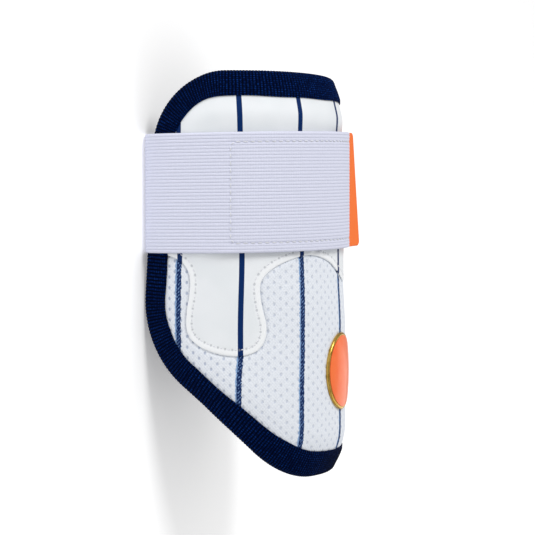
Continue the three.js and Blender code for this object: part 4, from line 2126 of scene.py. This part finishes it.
@dataclass
class Studio:
    """Softly lit table, lamps and the camera at the photograph's angle.

    Attributes:
        form: the form of the guard, which the camera looks at.
        turn: angle of the view round the guard's length, from its side towards its nose, in degrees.
        climb: angle of the view over the guard's middle, in degrees.
        distance: distance from the camera to its target.
        target_right: the target's place across the picture, from the U's centre.
        target_h: the target's height up from the lower tip.
        lens: focal length, on a sensor of the given width.
        sensor: width of the camera's sensor.
        floor_size: width of the floor, in metres.
        floor_pale: colour of the floor's clouds.
        floor_glow: light that the floor gives off.
        sky: strength of the white sky.
        lamps: the lamps.
    """

    form: Form
    turn: float = 20.42
    climb: float = 0.65
    distance: float = 994.2
    target_right: float = 15.78
    target_h: float = 112.84
    lens: float = 120.0
    sensor: float = 36.0
    floor_size: float = 12.0
    floor_pale: Colour = srgb(252, 252, 252)
    floor_glow: float = 0.25
    sky: float = 0.455
    lamps: tuple[Lamp, ...] = (
        Lamp("key", (-1.02, -0.5, 1.08), 0.6, 11.8),
        Lamp("fill", (0.5, 1.3, 0.8), 1.0, 4.0),
        Lamp("nose", (0.6, 0.1, 0.7), 0.4, 1.0),
    )

    def build_floor(self) -> None:
        """Lay the pale floor."""
        floor = Workpiece("floor", bpy.ops.mesh.primitive_plane_add, size=self.floor_size)
        graph = Graph("pale_floor")
        place = graph.node("ShaderNodeTexCoord", {}, output="Object")
        cloud = graph.noise(place, scale=3, detail=2)
        floor.mesh.materials.append(graph.surface({
            "Base Color": graph.mix(cloud, self.floor_pale, WHITE),
            "Roughness": 0.8,
            "Emission Color": WHITE,
            "Emission Strength": self.floor_glow,
        }))

    def build_light(self) -> None:
        """Set the white sky and the soft lamps."""
        scene = bpy.context.scene
        scene.world = bpy.data.worlds.new("studio")
        scene.world.use_nodes = True
        background = scene.world.node_tree.nodes["Background"]
        background.inputs["Color"].default_value = WHITE
        background.inputs["Strength"].default_value = self.sky
        scene.view_settings.view_transform = "Standard"
        for lamp in self.lamps:
            data = bpy.data.lights.new(lamp.name, "AREA")
            data.size = lamp.size
            data.energy = lamp.power
            light = bpy.data.objects.new(lamp.name, data)
            light.location = lamp.place
            light.rotation_euler = (-Vector(lamp.place)).to_track_quat("-Z", "Y").to_euler()
            scene.collection.objects.link(light)

    def build_camera(self) -> None:
        """Set the camera, turned so that the guard's length stands upright in the picture."""
        turn, climb = math.radians(self.turn), math.radians(self.climb)
        right = Vector((0, math.sin(turn), math.cos(turn)))
        away = Vector((-math.sin(climb), -math.cos(turn) * math.cos(climb), math.sin(turn) * math.cos(climb)))
        target = right * self.target_right
        target += Vector((self.form.length / 2 - self.target_h, 0, self.form.lift))
        data = bpy.data.cameras.new("camera")
        data.lens = self.lens
        data.sensor_width = self.sensor
        camera = bpy.data.objects.new("camera", data)
        axes = Matrix((right, away.cross(right), away)).transposed()
        camera.matrix_world = Matrix.Translation((target + away * self.distance) * MM) @ axes.to_4x4()
        scene = bpy.context.scene
        scene.collection.objects.link(camera)
        scene.camera = camera


LINING = ClothFinish(
    "navy_lining", srgb(26, 36, 72), srgb(14, 20, 44), weave=0.9, roughness=0.85, relief=0.2
)
THREAD = ClothFinish(
    "white_thread", srgb(244, 244, 246), srgb(214, 216, 224), weave=0.4, roughness=0.7, relief=0.04
)
HOOK_TAPE = ClothFinish(
    "white_hook_tape", srgb(232, 232, 238), srgb(196, 198, 208), weave=1.1, roughness=0.9, relief=0.3
)
ORANGE_TAB = ClothFinish(
    "orange_tab", srgb(255, 132, 62), srgb(255, 118, 48), weave=0.6, roughness=0.6, relief=0.06
)
GOLD = GlossFinish(
    "gold_rim", srgb(214, 178, 92), srgb(176, 138, 56), roughness=0.22, metallic=1.0, specular=0.5, coat=0.0
)
ENAMEL = GlossFinish(
    "orange_enamel", srgb(255, 122, 62), srgb(255, 112, 54),
    roughness=0.25, metallic=0.0, specular=0.2, coat=0.12,
)


def main() -> None:
    """Build the guard's pieces in order, then its stage, and note the sizes."""
    logging.basicConfig(level=logging.INFO, format="%(name)s: %(message)s")
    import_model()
    form = Form.from_frame()
    LOG.info("form %.1f long, lifted %.2f", form.length, form.lift)

    seam = Seam().border()
    Pad(form).build(LINING)
    MeshPanel(form, seam).build(MeshFinish())
    LeatherPanel(form, seam).build(LeatherFinish(), THREAD)
    EdgeBinding(form).build(BindingFinish())
    strap = Strap(form)
    strap.build(ElasticFinish(rib=strap.width / strap.ribs))
    strap.build_patch(HOOK_TAPE)
    strap.stitch(THREAD)
    PullTab(form, strap).build(ORANGE_TAB)
    badge = Badge(form)
    badge.build_rim(GOLD)
    badge.build_enamel(ENAMEL)

    studio = Studio(form)
    studio.build_floor()
    studio.build_light()
    studio.build_camera()


if __name__ == "__main__":
    main()
